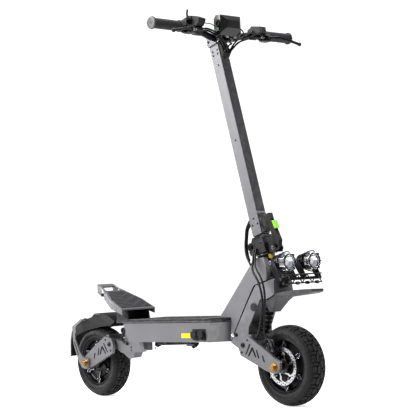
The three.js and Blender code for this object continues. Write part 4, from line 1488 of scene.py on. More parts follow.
@dataclass
class Neck:
    """The raked neck, the head tube, the headset and their bolts."""

    def build(self) -> None:
        """Builds the neck and what is on it."""
        soften("neck", GREY_PAINT, Body.CHASSIS, 0.003, 30.0, 3)
        soften("head_tube", BLACK_METAL, Body.CHASSIS, 0.001)
        for race in ("headset_upper", "headset_lower"):
            dress(race, SCREW_STEEL)
        self.collars()
        self.deck_gusset()

    def collars(self) -> None:
        """Adds the two knurled headset collars round the head tube's ends."""
        bm = bmesh.new()
        for s in (-0.1285, -0.2085):
            add_turned(
                bm,
                ((0.0275, -0.004), (0.0295, -0.003), (0.0295, 0.001), (0.0275, 0.002)),
                steering_point(s),
                STEER_UP,
                segments=48,
                closed=True,
            )
        make_piece("headset_collars", bm, SCREW_STEEL, Body.CHASSIS, bevel=0.0002)

    def deck_gusset(self) -> None:
        """Adds the screws that hold the neck's foot to the deck, on both sides."""
        for side in (-1, 1):
            places = [(0.232, side * 0.0508, 0.228), (0.246, side * 0.0502, 0.2395)]
            name = f"neck_foot_screws_{side_word(side)}"
            screws(name, places, (0, side, 0), Body.CHASSIS, DARK_SCREW, SocketScrew(0.003, 0.002))


@dataclass
class Fork:
    """The fork's boxed legs, the crown, the steerer and the front fender."""

    plug_radius: float = 0.0125

    def build(self) -> None:
        """Builds the fork and what is bolted to it."""
        soften("fork", GREY_PAINT, Body.STEERING, 0.0025, 30.0, 3)
        dress("steerer", SCREW_STEEL)
        # The front fender takes the darker paint as painted shade under the lamp bracket.
        soften("front_fender", SHADE_DARKENED_FENDER_PAINT, Body.STEERING, 0.0015)
        self.plugs()
        self.leg_screws()
        self.fender_details()

    def plugs(self) -> None:
        """Adds the round rubber plugs in the fork's sides."""
        bm = bmesh.new()
        for side in (-1, 1):
            r = self.plug_radius
            profile = (
                (r * 1.06, -0.002), (r * 1.06, 0.0006), (r, 0.0014), (r * 0.8, 0.0018),
                (r * 0.3, 0.0021), (0.0, 0.0022),
            )
            add_turned(bm, profile, (0.375, side * 0.0495, 0.3145), (0, side, 0), segments=36)
        make_piece("fork_plugs", bm, DARK_PAINT, Body.STEERING)

    def leg_screws(self) -> None:
        """Adds the silver and the dark screw low on each leg."""
        for side in (-1, 1):
            y = side * 0.0556
            end = side_word(side)
            screws(
                f"fork_screw_silver_{end}", [(0.279, y, 0.2255)], (0, side, 0), Body.STEERING, CHROME,
                SocketScrew(0.0045, 0.004),
            )
            screws(
                f"fork_screw_dark_{end}", [(0.294, y, 0.2265)], (0, side, 0), Body.STEERING, DARK_SCREW,
                SocketScrew(0.005, 0.003),
            )

    def fender_details(self) -> None:
        """Adds the fender's rolled edge, its under ribs and its screws."""
        bm = bmesh.new()
        add_tube(bm, [mm(608, y, 358) for y in (-25, 0, 25)], 0.0035, 10, 3)
        rib = bmesh.new()
        add_prism(
            rib, [(x * MM, z * MM) for x, z in ((478, 341), (592, 350), (592, 352), (478, 345))],
            -0.0305, -0.029,
        )
        ribs = repeated(rib, Repeat.ROW, 5, (0.0, 0.0149, 0.0), finish=GREY_PAINT)
        make_piece("fender_edge", merge(bm, ribs), GREY_PAINT, Body.STEERING, smooth=40.0)
        places = [mm(x, y, 356.6 + (x - 490) * 0.1) for x in (494, 516) for y in (-18, 18)]
        screws("fender_screws", places, (0, 0, 1), Body.STEERING, DARK_SCREW)


@dataclass
class LightBar:
    """The lamp bracket with its lattice, and two caged lamps."""

    lamp_y: float = 0.056
    lamp_z: float = 0.451
    front_x: float = 0.552
    radius: float = 0.029
    fins: int = 7
    cage_bars: int = 8

    def build(self) -> None:
        """Builds the bracket and both lamps."""
        soften("light_bracket", BLACK_METAL, Body.STEERING, 0.0008)
        self.lattice()
        for side, body, name in ((1, Body.LAMP_LEFT, "lamp_left"), (-1, Body.LAMP_RIGHT, "lamp_right")):
            self.lamp(name, side * self.lamp_y, body)

    def lattice(self) -> None:
        """Adds the truss of thin bars in front of and under the lamps."""
        bm = bmesh.new()
        top, bottom = 0.4115, 0.3845
        span = 0.088
        for z in (top, bottom):
            add_tube(bm, [(0.5495, y, z) for y in (-span, 0.0, span)], 0.0022, 8, 3)
        cell = 0.044
        strut = bmesh.new()
        add_tube(strut, [(0.5495, -span, bottom), (0.5495, -span + cell / 2, top)], 0.0018, 8, 2)
        add_tube(strut, [(0.5495, -span + cell / 2, top), (0.5495, -span + cell, bottom)], 0.0018, 8, 2)
        nub = -span + cell / 2
        add_turned(
            strut, ((0.0045, -0.006), (0.0052, 0.0), (0.0052, 0.006), (0.003, 0.009)),
            (0.549, nub, bottom), (1, 0, 0), 12,
        )
        truss = repeated(strut, Repeat.ROW, 4, (0.0, cell, 0.0), finish=BLACK_METAL)
        make_piece("light_bar_lattice", merge(bm, truss), BLACK_METAL, Body.STEERING, smooth=50.0)
        for side in (-1, 1):
            for edge in (-1, 1):
                y = side * self.lamp_y + edge * (self.radius + 0.0065)
                name = f"lamp_bolt_{'left' if side > 0 else 'right'}_{'outer' if edge == side else 'inner'}"
                screws(
                    name, [(0.503, y, self.lamp_z)], (0, edge, 0), Body.STEERING, SCREW_STEEL,
                    SocketScrew(0.005, 0.003),
                )

    def lamp(self, name: str, y: float, body: Body) -> None:
        """Builds one lamp.

        Args:
            name: The CAD node it stands for.
            y: Where its middle is.
            body: The body it rides on.
        """
        r = self.radius
        bm = bmesh.new()
        back = 0.489
        profile = [(0.0, 0.0), (0.0175, 0.0), (0.0195, 0.0015)]
        for k in range(self.fins):
            along = 0.004 + k * 0.0048
            swell = 0.0205 + k * 0.0010
            profile += [
                (swell, along), (swell + 0.002, along + 0.0008), (swell + 0.002, along + 0.0024),
                (swell, along + 0.0032),
            ]
        profile += [(r - 0.001, 0.0425), (r - 0.001, 0.045), (0.02, 0.045), (0.0, 0.045)]
        add_turned(bm, profile, (back, y, self.lamp_z), (1, 0, 0), segments=40)
        add_turned(
            bm, ((0.0, -r - 0.009), (0.0041, -r - 0.009), (0.0041, r + 0.009), (0.0, r + 0.009)),
            (0.503, y, self.lamp_z), (0, 1, 0), 16,
        )
        make_piece(name + "_can", bm, BLACK_METAL, body, (name,), smooth=35.0)

        ring = bmesh.new()
        add_turned(
            ring,
            (
                (r - 0.001, 0.0), (r, 0.001), (r, 0.0175), (r - 0.0018, 0.0195), (r - 0.0042, 0.0195),
                (r - 0.005, 0.016), (r - 0.005, 0.0),
            ),
            (self.front_x - 0.0195, y, self.lamp_z),
            (1, 0, 0),
            segments=8,
            closed=True,
            turn=math.pi / 8,
        )
        make_piece(name + "_bezel", ring, CHROME, body, bevel=0.0012, smooth=30.0)

        dish = bmesh.new()
        shape = [
            (0.004, -0.012), (0.011, -0.0115), (0.018, -0.007), (0.0234, 0.001), (0.024, 0.0),
            (0.0185, -0.0085), (0.011, -0.0128), (0.004, -0.0132),
        ]
        add_turned(dish, shape, (self.front_x - 0.005, y, self.lamp_z), (1, 0, 0), 40, closed=True)
        make_piece(name + "_reflector", dish, CHROME, body, smooth=40.0)

        bulb = bmesh.new()
        add_turned(
            bulb, ((0.0, -0.014), (0.0085, -0.014), (0.0085, -0.0095), (0.006, -0.0075), (0.0, -0.0068)),
            (self.front_x - 0.003, y, self.lamp_z), (1, 0, 0), 24,
        )
        make_piece(name + "_led", bulb, LED_WHITE, body)

        glass = bmesh.new()
        lens = ((0.0, -0.0018), (0.0237, -0.003), (0.0237, -0.0012), (0.013, 0.0008), (0.0, 0.0012))
        add_turned(glass, lens, (self.front_x - 0.002, y, self.lamp_z), (1, 0, 0), 40)
        make_piece(name + "_lens", glass, CLEAR_LENS, body, smooth=50.0)

        cage = bmesh.new()
        bar = bmesh.new()
        lamp = Vector((0.0, y, self.lamp_z))
        reach = r + 0.0028
        route = [
            Vector((0.522, 0.0, reach - 0.003)) + lamp,
            Vector((0.538, 0.0, reach)) + lamp,
            Vector((0.551, 0.0, reach)) + lamp,
            Vector((0.5545, 0.0, reach - 0.006)) + lamp,
        ]
        add_tube(bar, route, 0.0018, 8, 4)
        bars = repeated(
            bar, Repeat.RING, self.cage_bars, (2 * math.pi / self.cage_bars, 0, 0),
            (0.0, y, self.lamp_z), finish=BLACK_METAL,
        )
        for x, size in ((0.5235, reach - 0.003), (0.5545, reach - 0.0065)):
            add_turned(
                cage,
                (
                    (size - 0.0014, -0.0014), (size + 0.0014, -0.0014), (size + 0.0014, 0.0014),
                    (size - 0.0014, 0.0014),
                ),
                (x, y, self.lamp_z), (1, 0, 0), 8, True, math.pi / 8,
            )
        make_piece(name + "_cage", merge(cage, bars), BLACK_METAL, body, smooth=50.0)


@dataclass
class SwingArm:
    """A swing arm with its plates, axle, nuts and caliper."""

    end: str
    sign: int
    body: Body
    disc_side: int = -1
    wheel_x: float = 0.480
    axle_z: float = 0.1271

    def build(self) -> None:
        """Builds the arm and its hardware."""
        soften(self.end + "_arm", GREY_PAINT, self.body, 0.0012)
        soften(self.end + "_axle", GOLD, self.body, 0.0008)
        soften(self.end + "_caliper", BLACK_METAL, self.body, 0.0018, 35.0, 2)
        self.pivot_caps()
        self.axle_washers()
        self.caliper_details()
        self.coil_spring()

    def pivot_caps(self) -> None:
        """Adds the pivot bolts and the screws along the arm's plates."""
        for side in (-1, 1):
            word = side_word(side)
            face = side * 0.0762
            screws(
                f"{self.end}_pivot_bolt_{word}", [(self.sign * 0.345, face, 0.195)], (0, side, 0),
                self.body, DARK_SCREW, SocketScrew(0.0065, 0.004),
            )
            places = [(self.sign * x, face, z) for x, z in ((0.366, 0.211), (0.338, 0.172))]
            screws(
                f"{self.end}_arm_screws_{word}", places, (0, side, 0), self.body, DARK_SCREW,
                SocketScrew(0.0028, 0.0018),
            )

    def axle_washers(self) -> None:
        """Adds the toothed washers and the threaded stub under each nut."""
        _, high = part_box(self.end + "_axle")
        nut = 0.076 if self.sign > 0 else 0.083
        bm = bmesh.new()
        for side in (-1, 1):
            profile = ((0.0083, 0.0), (0.0135, 0.0), (0.0135, 0.0004), (0.013, 0.0022), (0.0083, 0.0022))
            add_turned(
                bm, profile, (self.sign * self.wheel_x, side * (nut + 0.0004), self.axle_z),
                (0, side, 0), 24, closed=True,
            )
            thread = bmesh.new()
            add_turned(
                thread, ((0.0079, 0.0), (0.0085, 0.0004), (0.0079, 0.0008)),
                (self.sign * self.wheel_x, side * (high.y - 0.0035), self.axle_z), (0, side, 0), 20,
                closed=True,
            )
            bm = merge(bm, thread)
        make_piece(self.end + "_axle_washers", bm, GOLD, self.body, smooth=40.0)

    def caliper_spot(self, along: float, out: float, y: float) -> Vector:
        """Returns a place on the caliper.

        Args:
            along: How far round from the caliper's middle.
            out: How far from the axle.
            y: How far to the left.

        Returns:
            The place.
        """
        angle = math.radians(120.0 if self.sign > 0 else 60.0)
        way = Vector((math.cos(angle), 0.0, math.sin(angle)))
        side = Vector((math.sin(angle), 0.0, -math.cos(angle)))
        return Vector((self.sign * self.wheel_x, y, self.axle_z)) + way * out + side * along

    def caliper_details(self) -> None:
        """Adds the caliper's bolts, the cable's adjuster, and ribs and an arm on its body."""
        bm = bmesh.new()
        for along in (-0.011, 0.011):
            spot = self.caliper_spot(along, 0.052, self.disc_side * 0.0637)
            SocketScrew(0.0035, 0.003).add(bm, spot, (0, self.disc_side, 0))
        outward = self.caliper_spot(0.0, 1.0, 0.0) - self.caliper_spot(0.0, 0.0, 0.0)
        barrel = (
            (0.0, 0.0), (0.0045, 0.0), (0.0045, 0.004), (0.0035, 0.005), (0.0035, 0.011),
            (0.0048, 0.012), (0.0048, 0.017), (0.002, 0.019), (0.0, 0.019),
        )
        add_turned(bm, barrel, self.caliper_spot(0.012, 0.079, self.disc_side * 0.056), outward, 16)
        make_piece(self.end + "_caliper_bolts", bm, SCREW_STEEL, self.body, smooth=40.0)
        rib = bmesh.new()
        for along in (-0.017, -0.006, 0.005, 0.016):
            foot = self.caliper_spot(along, 0.047, self.disc_side * 0.0632)
            tip = self.caliper_spot(along * 0.8, 0.083, self.disc_side * 0.0600)
            add_tube(
                rib, (foot, foot.lerp(tip, 0.5) + Vector((0.0, self.disc_side * 0.002, 0.0)), tip),
                0.0022, 8, 3,
            )
        arm = [
            self.caliper_spot(0.024, 0.060, self.disc_side * 0.058),
            self.caliper_spot(0.026, 0.080, self.disc_side * 0.058),
            self.caliper_spot(0.012, 0.090, self.disc_side * 0.057),
        ]
        add_tube(rib, arm, 0.0034, 10, 4)
        make_piece(self.end + "_caliper_ribs", rib, BLACK_METAL, self.body, smooth=50.0)

    def coil_spring(self) -> None:
        """Adds the coil spring round its damper, which bends with the arm."""
        node = self.end + "_spring"
        if self.sign > 0:
            start, stop, r = Vector(mm(371, 0, 234)), Vector(mm(407, 0, 332)), 0.0185
            parent, low_body = Body.STEERING, Body.FRONT_ARM
        else:
            start, stop, r = Vector(mm(-357, 0, 238)), Vector(mm(-306, 0, 247)), 0.0115
            parent, low_body = Body.CHASSIS, Body.REAR_ARM
        turn = basis(stop - start)
        length = (stop - start).length
        wire = r * 0.2
        turns = 6.5
        steps = 18
        route = []
        for k in range(int(turns * steps) + 1):
            angle = 2 * math.pi * k / steps
            along = wire + (length - 2 * wire) * k / (turns * steps)
            route.append(
                start + turn @ Vector(((r - wire) * math.cos(angle), (r - wire) * math.sin(angle), along))
            )
        bm = bmesh.new()
        add_tube(bm, route, wire, sides=8, steps=1)
        damper = (
            (0.0, 0.0), (r * 0.95, 0.0), (r * 0.95, 0.003), (r * 0.6, 0.005), (r * 0.6, length * 0.5),
            (r * 0.42, length * 0.52), (r * 0.42, length - 0.005), (r * 0.95, length - 0.003),
            (r * 0.95, length), (0.0, length),
        )
        add_turned(bm, damper, start, stop - start, 24)
        make_bending(node + "_coil", bm, BLACK_METAL, (low_body, parent), (node,), 40.0)


@dataclass
class TreadBlock:
    """One tread block: where it lies on the crown and how it is cut."""

    corners: Sequence[tuple[float, float]]
    depth: float = 0.0066
    chamfer: float = 0.0012


@dataclass
class Wheel:
    """A tyre with tread blocks, a hub with six outlined lugs and a drilled brake disc."""

    end: str
    body: Body
    x: float
    disc_side: int = -1
    z: float = 0.1271
    radius: float = 0.127
    pitches: int = 22
    lugs: int = 6
    disc_out: float = 0.0385
    disc_radius: float = 0.060
    lug_shape: tuple[tuple[float, float], ...] = (
        (-0.0125, 0.0335), (-0.0045, 0.0600), (-0.0095, 0.0640), (0.0, 0.0795),
        (0.0095, 0.0640), (0.0045, 0.0600), (0.0125, 0.0335),
    )

    def build(self) -> None:
        """Builds the tyre, the hub and the disc."""
        self.carcass()
        self.tread()
        self.hub()
        self.lug_outlines()
        self.disc()

    def crown(self, y: float) -> float:
        """Returns the tread's radius at a width.

        Args:
            y: How far from the middle.

        Returns:
            The radius of the block tops there.
        """
        t = min(1.0, abs(y) / 0.039)
        return self.radius - 0.0155 * t ** 2.6 - 0.004 * t ** 8

    def carcass(self) -> None:
        """Turns the tyre's body with a bead, a rim guard and sidewall rings."""
        half = [
            (0.0863, 0.0285), (0.0885, 0.0325), (0.0905, 0.0342), (0.0925, 0.0344), (0.0932, 0.0352),
            (0.0952, 0.0352), (0.0958, 0.0366), (0.1, 0.0384), (0.1035, 0.039), (0.1042, 0.0396),
            (0.1054, 0.0396), (0.1060, 0.039), (0.109, 0.0382), (0.1125, 0.0366), (0.1155, 0.034),
            (0.1172, 0.029), (0.1192, 0.022), (0.1204, 0.012), (0.1209, 0.0),
        ]
        profile = [(r, -y) for r, y in half] + [(r, y) for r, y in reversed(half[:-1])]
        bm = bmesh.new()
        add_turned(bm, profile, (self.x, 0, self.z), (0, 1, 0), 120, closed=True)
        make_piece(self.end + "_tyre_body", bm, TYRE_RUBBER, self.body, (self.end + "_tyre",), smooth=50.0)
        rib = bmesh.new()
        low = self.z + 0.0962
        for side in (-1, 1):
            y = side * 0.0368
            add_box(
                rib, (self.x - 0.0006, min(y, y + side * 0.0022), low),
                (self.x + 0.0006, max(y, y + side * 0.0022), low + 0.0055),
            )
        step = (0.0, 2 * math.pi / 90, 0.0)
        ribs = repeated(rib, Repeat.RING, 90, step, (self.x, 0.0, self.z), finish=TYRE_RUBBER)
        make_piece(self.end + "_sidewall_ribs", ribs, TYRE_RUBBER, self.body, smooth=30.0)

    def add_block(self, bm: bmesh.types.BMesh, block: TreadBlock) -> None:
        """Adds one tread block that follows the crown.

        Args:
            bm: The mesh to add to.
            block: The block, with corners as (turn, width), the turn in pitches.
        """
        pitch = 2 * math.pi / self.pitches
        count = len(block.corners)
        mid_a = sum(a for a, _ in block.corners) / count
        mid_y = sum(y for _, y in block.corners) / count
        rings = []
        for inset, drop in ((-0.06, block.depth), (0.0, block.chamfer), (0.07, 0.0)):
            ring = []
            for a, y in block.corners:
                angle = (a + (mid_a - a) * inset) * pitch
                wide = y + (mid_y - y) * inset
                r = self.crown(wide) - drop
                spot = (self.x + r * math.sin(angle), wide, self.z + r * math.cos(angle))
                ring.append(bm.verts.new(spot))
            rings.append(ring)
        for lower, upper in zip(rings, rings[1:]):
            for k in range(count):
                j = (k + 1) % count
                bm.faces.new((lower[k], lower[j], upper[j], upper[k]))
        bm.faces.new(rings[-1])
        bm.faces.new(list(reversed(rings[0])))

    def tread(self) -> None:
        """Lays centre chevrons, middle blocks and shoulder lugs, repeated round the tyre."""
        unit = bmesh.new()
        for side in (-1, 1):
            shift = 0.0 if side > 0 else 0.5
            centre = [
                (0.0, 0.0012), (0.56, 0.0012), (0.68, 0.0070), (0.52, 0.0135), (0.10, 0.0120),
                (-0.06, 0.0060),
            ]
            bridge = [(0.74, 0.0012), (0.94, 0.0012), (0.97, 0.0055), (0.80, 0.0062)]
            middle = [
                (0.14, 0.0152), (0.56, 0.0167), (0.64, 0.0225), (0.50, 0.0275), (0.08, 0.0262),
                (0.0, 0.0200),
            ]
            second = [(0.70, 0.0100), (0.90, 0.0086), (0.93, 0.0190), (0.84, 0.0250), (0.71, 0.0235)]
            shoulder = [
                (0.12, 0.0294), (0.56, 0.0302), (0.63, 0.0350), (0.58, 0.0400), (0.08, 0.0396),
                (0.04, 0.0330),
            ]
            outer = [(0.74, 0.0280), (0.97, 0.0285), (0.99, 0.0380), (0.72, 0.0392)]
            for corners in (centre, bridge, middle, second, shoulder, outer):
                placed = [(a + shift, side * y) for a, y in corners]
                self.add_block(unit, TreadBlock(placed))
        step = (0.0, 2 * math.pi / self.pitches, 0.0)
        blocks = repeated(unit, Repeat.RING, self.pitches, step, (self.x, 0.0, self.z), 0.0, TYRE_RUBBER)
        make_piece(self.end + "_tread", blocks, TYRE_RUBBER, self.body, smooth=25.0)

    def hub(self) -> None:
        """Turns the rim and the motor drum, and adds six raised lugs on each side."""
        half = [
            (
                0.0082, 0.0368,
            ), (0.0215, 0.0368), (0.0225, 0.0358), (0.024, 0.0245), (0.03, 0.0236), (0.0315, 0.0226),
            (0.052, 0.022), (
                0.0545, 0.0205,
            ), (0.0565, 0.0165), (0.069, 0.0155), (0.0735, 0.018), (0.078, 0.0285),
            (0.080, 0.0305), (0.0845, 0.0312), (0.0862, 0.0305), (0.0862, 0.0),
        ]
        profile = [(r, -y) for r, y in half] + [(r, y) for r, y in reversed(half[:-1])]
        bm = bmesh.new()
        add_turned(bm, profile, (self.x, 0, self.z), (0, 1, 0), 96, closed=True)
        lug = bmesh.new()
        for side in (-1, 1):
            placed = [(self.x + a, self.z + b) for a, b in self.lug_shape]
            low, high = sorted((side * 0.0145, side * 0.0265))
            add_prism(lug, placed, low, high)
        bmesh.ops.recalc_face_normals(lug, faces=lug.faces)
        step = (0.0, 2 * math.pi / self.lugs, 0.0)
        lugs = repeated(lug, Repeat.RING, self.lugs, step, (self.x, 0.0, self.z), finish=BLACK_METAL)
        bolt = bmesh.new()
        for side in (-1, 1):
            SocketScrew(0.0028, 0.002).add(bolt, (self.x, side * 0.0222, self.z + 0.040), (0, side, 0))
        bolts = repeated(
            bolt, Repeat.RING, 9, (0.0, 2 * math.pi / 9, 0.0), (self.x, 0.0, self.z), finish=BLACK_METAL,
        )
        make_piece(
            self.end + "_hub_finished", merge(bm, lugs, bolts), BLACK_METAL, self.body,
            (self.end + "_hub",), bevel=0.0006, smooth=32.0,
        )

    def lug_outlines(self) -> None:
        """Adds the machined silver outline round each lug."""
        line = bmesh.new()
        middle = sum(b for _, b in self.lug_shape) / len(self.lug_shape)
        outline = [(a * 0.9, middle + (b - middle) * 0.94) for a, b in self.lug_shape]
        for side in (-1, 1):
            y = side * 0.0266
            for (a0, b0), (a1, b1) in zip(outline, outline[1:]):
                start = Vector((self.x + a0, y, self.z + b0))
                end = Vector((self.x + a1, y, self.z + b1))
                add_tube(line, (start, start.lerp(end, 0.5), end), 0.00075, 6, 1)
        step = (0.0, 2 * math.pi / self.lugs, 0.0)
        lines = repeated(line, Repeat.RING, self.lugs, step, (self.x, 0.0, self.z), finish=CHROME)
        make_piece(self.end + "_lug_lines", lines, CHROME, self.body, smooth=60.0)

    def disc(self) -> None:
        """Cuts the brake disc: a drilled band on six swept arms, with a bolt circle."""
        r = self.disc_radius
        loops = [circle(self.x, self.z, r, 96), circle(self.x, self.z, 0.0115, 32)]
        arms = 6
        for k in range(arms):
            start = 2 * math.pi * k / arms
            loops.append(self.arm_window(start, 2 * math.pi / arms))
            loops.append(
                circle(
                    self.x + 0.0185 * math.cos(start + 0.45), self.z + 0.0185 * math.sin(start + 0.45),
                    0.0023, 12,
                )
            )
        holes = 40
        for k in range(holes):
            angle = 2 * math.pi * k / holes
            out = (0.0520, 0.0566)[k % 2]
            loops.append(circle(self.x + out * math.cos(angle), self.z + out * math.sin(angle), 0.0021, 10))
        y = self.disc_side * self.disc_out
        bm = flat_plate("disc", loops, y - 0.0012, y + 0.0012, lambda a, b, t: (a, t, b))
        make_piece(
            self.end + "_disc", bm, STEEL, self.body, (self.end + "_rotor",), bevel=0.0003, smooth=30.0,
            segments=1,
        )
        bolts = bmesh.new()
        spot = (
            self.x + 0.0185 * math.cos(0.45), y + self.disc_side * 0.0011,
            self.z + 0.0185 * math.sin(0.45),
        )
        SocketScrew(0.0027, 0.0016).add(bolts, spot, (0, self.disc_side, 0))
        ring = repeated(
            bolts, Repeat.RING, arms, (0.0, 2 * math.pi / arms, 0.0), (self.x, 0.0, self.z),
            finish=SCREW_STEEL,
        )
        make_piece(self.end + "_disc_bolts", ring, SCREW_STEEL, self.body)
        carrier = bmesh.new()
        low, high = sorted((y + self.disc_side * 0.0012, y + self.disc_side * 0.0019))
        rim = ((0.0120, low), (0.0238, low), (0.0238, high), (0.0120, high))
        add_turned(carrier, rim, (self.x, 0.0, self.z), (0, 1, 0), 48, closed=True)
        make_piece(self.end + "_disc_carrier", carrier, BLACK_METAL, self.body)

    def arm_window(self, start: float, share: float) -> list[tuple[float, float]]:
        """Returns one window between two swept arms of the disc.

        Args:
            start: The angle at which its inner end starts.
            share: The angle that one arm and one window take together.

        Returns:
            The window's corners.
        """
        inner, outer = 0.0255, 0.0486
        steps = 6
        sweep = 0.55
        first, last = 0.09 * share, 0.90 * share
        edge = []
        for k in range(steps + 1):
            t = k / steps
            edge.append(
                (inner + (outer - inner) * t, start + first + sweep * t + 0.10 * math.sin(2 * math.pi * t))
            )
        for k in range(steps + 1):
            t = k / steps
            edge.append((outer, start + first + sweep + (last - first) * t))
        for k in range(1, steps + 1):
            t = 1 - k / steps
            edge.append(
                (inner + (outer - inner) * t, start + last + sweep * t + 0.10 * math.sin(2 * math.pi * t))
            )
        return [(self.x + r * math.cos(a), self.z + r * math.sin(a)) for r, a in edge]


@dataclass
class RearEnd:
    """The rear block, the kick plate, the rear fender and its tail light."""

    def build(self) -> None:
        """Builds everything behind the deck."""
        soften("rear_block", GREY_PAINT, Body.CHASSIS, 0.002, 30.0, 3)
        soften("kick_plate", GREY_PAINT, Body.CHASSIS, 0.0012)
        soften("kick_plate_post", DARK_PAINT, Body.CHASSIS, 0.001)
        soften("rear_fender", BLACK_PLASTIC, Body.REAR_ARM, 0.0015)
        soften("fender_stays", GREY_PAINT, Body.REAR_ARM, 0.001)
        soften("tail_light", RED_LENS, Body.REAR_ARM, 0.0012)
        self.kick_tape()
        self.kick_details()
        self.fender_ridges()
        self.mud_flap()
        self.block_details()

    @staticmethod
    def kick_height(x: float) -> float:
        """Returns the height of the kick plate's top at a place along it."""
        t = (x + 0.450) / (-0.262 + 0.450)
        return 0.410 + t * (0.318 - 0.410)

    def kick_tape(self) -> None:
        """Lays a sheet of grip tape on the kick plate, in front of the handle window."""
        outline = [
            (-0.389, -0.037), (-0.330, -0.064), (-0.270, -0.069), (-0.270, 0.069), (-0.330, 0.064),
            (-0.389, 0.037),
        ]
        bm = bmesh.new()
        low = [bm.verts.new((x, y, self.kick_height(x) - 0.0002)) for x, y in outline]
        high = [bm.verts.new((x, y, self.kick_height(x) + 0.0012)) for x, y in outline]
        bm.faces.new(list(reversed(low)))
        bm.faces.new(high)
        for k in range(len(outline)):
            j = (k + 1) % len(outline)
            bm.faces.new((low[k], low[j], high[j], high[k]))
        make_piece("kick_plate_tape", bm, GRIP_TAPE, Body.CHASSIS, bevel=0.0004, smooth=20.0)

    def kick_details(self) -> None:
        """Adds the window's rolled edge, side screws, a rubber foot and dark slots in the skirts."""
        bm = bmesh.new()
        window = [(-0.431, -0.030), (-0.396, -0.037), (-0.396, 0.037), (-0.431, 0.030)]
        for (x0, y0), (x1, y1) in zip(window, window[1:] + window[:1]):
            start = Vector((x0, y0, self.kick_height(x0)))
            end = Vector((x1, y1, self.kick_height(x1)))
            add_tube(bm, (start, start.lerp(end, 0.5), end), 0.0014, 8, 1)
        make_piece("kick_window_edge", bm, GREY_PAINT, Body.CHASSIS, smooth=60.0)
        foot = bmesh.new()
        for side in (-1, 1):
            add_turned(
                foot, ((0.0, 0.0), (0.006, 0.0), (0.0075, 0.004), (0.0075, 0.012), (0.0, 0.012)),
                (-0.424, side * 0.032, 0.3645), (0, 0, 1), 20,
            )
        make_piece("kick_plate_feet", foot, RUBBER, Body.CHASSIS)
        for side in (-1, 1):
            word = side_word(side)
            slots = bmesh.new()
            base = Vector((-0.3285, side * 0.0705, 0.3265))
            lean = Vector((0.0065, side * 0.0006, 0.0115))
            for k in range(4):
                spot = base + Vector((0.0095 * k, side * 0.0006 * k, -0.0046 * k))
                add_tube(slots, (spot, spot + lean * 0.5, spot + lean), 0.0017, 8, 1)
            make_piece(f"kick_slots_{word}", slots, BLACK_PLASTIC, Body.CHASSIS, smooth=60.0)
            places = [(-0.272, side * 0.0520, 0.292), (-0.3, side * 0.0520, 0.304)]
            screws(
                f"kick_post_screws_{word}", places, (0, side, 0), Body.CHASSIS, DARK_SCREW,
                SocketScrew(0.003, 0.002),
            )

    def fender_ridges(self) -> None:
        """Adds raised ridges and the front wings on the rear fender, screws on the stays' top and slots in
        the stays.
        """
        top = [(-0.405, 0.2848), (-0.440, 0.2940), (-0.474, 0.2950), (-0.520, 0.2840), (-0.531, 0.2797)]
        tail = [(-0.553, 0.2716), (-0.565, 0.2670), (-0.602, 0.2515)]
        bm = bmesh.new()
        for y in (-0.028, -0.010, 0.010, 0.028):
            for line in (top, tail):
                add_tube(bm, [Vector((x, y, z)) for x, z in line], 0.0024, 8, 5)
        make_piece("fender_ridges", bm, BLACK_PLASTIC, Body.REAR_ARM, smooth=50.0)
        wing = bmesh.new()
        for side in (-1, 1):
            outline = [
                (-0.372, 0.260), (-0.350, 0.273), (-0.388, 0.293), (-0.438, 0.301), (-0.474, 0.301),
                (-0.486, 0.2905), (-0.442, 0.2925), (-0.402, 0.2815),
            ]
            low, high = sorted((side * 0.040, side * 0.0425))
            add_prism(wing, outline, low, high)
        flare = bmesh.new()
        lip = [
            (-0.350, 0.273), (-0.3525, 0.2765), (-0.390, 0.2965), (-0.438, 0.3045), (-0.468, 0.3045),
            (-0.468, 0.3015), (-0.438, 0.3015), (-0.388, 0.293),
        ]
        add_prism(flare, lip, -0.0425, 0.0425)
        make_piece("fender_wings", merge(wing, flare), BLACK_PLASTIC, Body.REAR_ARM, bevel=0.001)
        _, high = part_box("fender_stays")
        places = [(-0.542, y, high.z - 0.0004) for y in (-0.03, 0.03)]
        screws("fender_top_screws", places, (0, 0, 1), Body.REAR_ARM, DARK_SCREW, SocketScrew(0.0038, 0.0025))
        for side in (-1, 1):
            word = side_word(side)
            slot = bmesh.new()
            y = side * 0.0832
            add_tube(slot, [(-0.5215, y, 0.156), (-0.532, y, 0.178), (-0.5445, y, 0.205)], 0.0018, 8, 3)
            make_piece(f"stay_slot_{word}", slot, BLACK_PLASTIC, Body.REAR_ARM, smooth=60.0)

    def mud_flap(self) -> None:
        """Adds the rubber mud flap under the tail of the fender."""
        bm = bmesh.new()
        outline = [(-0.6254, 0.2030), (-0.6282, 0.2036), (-0.6365, 0.1462), (-0.6334, 0.1458)]
        add_prism(bm, outline, -0.036, 0.036)
        make_piece("mud_flap", bm, RUBBER, Body.REAR_ARM, bevel=0.0006)

    def block_details(self) -> None:
        """Adds the rear block's screws and the motor cable."""
        for side in (-1, 1):
            word = side_word(side)
            places = [(-0.245, side * 0.0562, z) for z in (0.183, 0.172)]
            screws(
                f"rear_block_screws_{word}", places, (0, side, 0), Body.CHASSIS, DARK_SCREW,
                SocketScrew(0.0022, 0.0015),
            )
        cable(
            "rear_motor_cable",
            [(-256, -58, 262), (-268, -62, 244), (-282, -64, 222), (-280, -63, 204), (-262, -61, 196)],
            0.0034,
            Body.CHASSIS,
        )


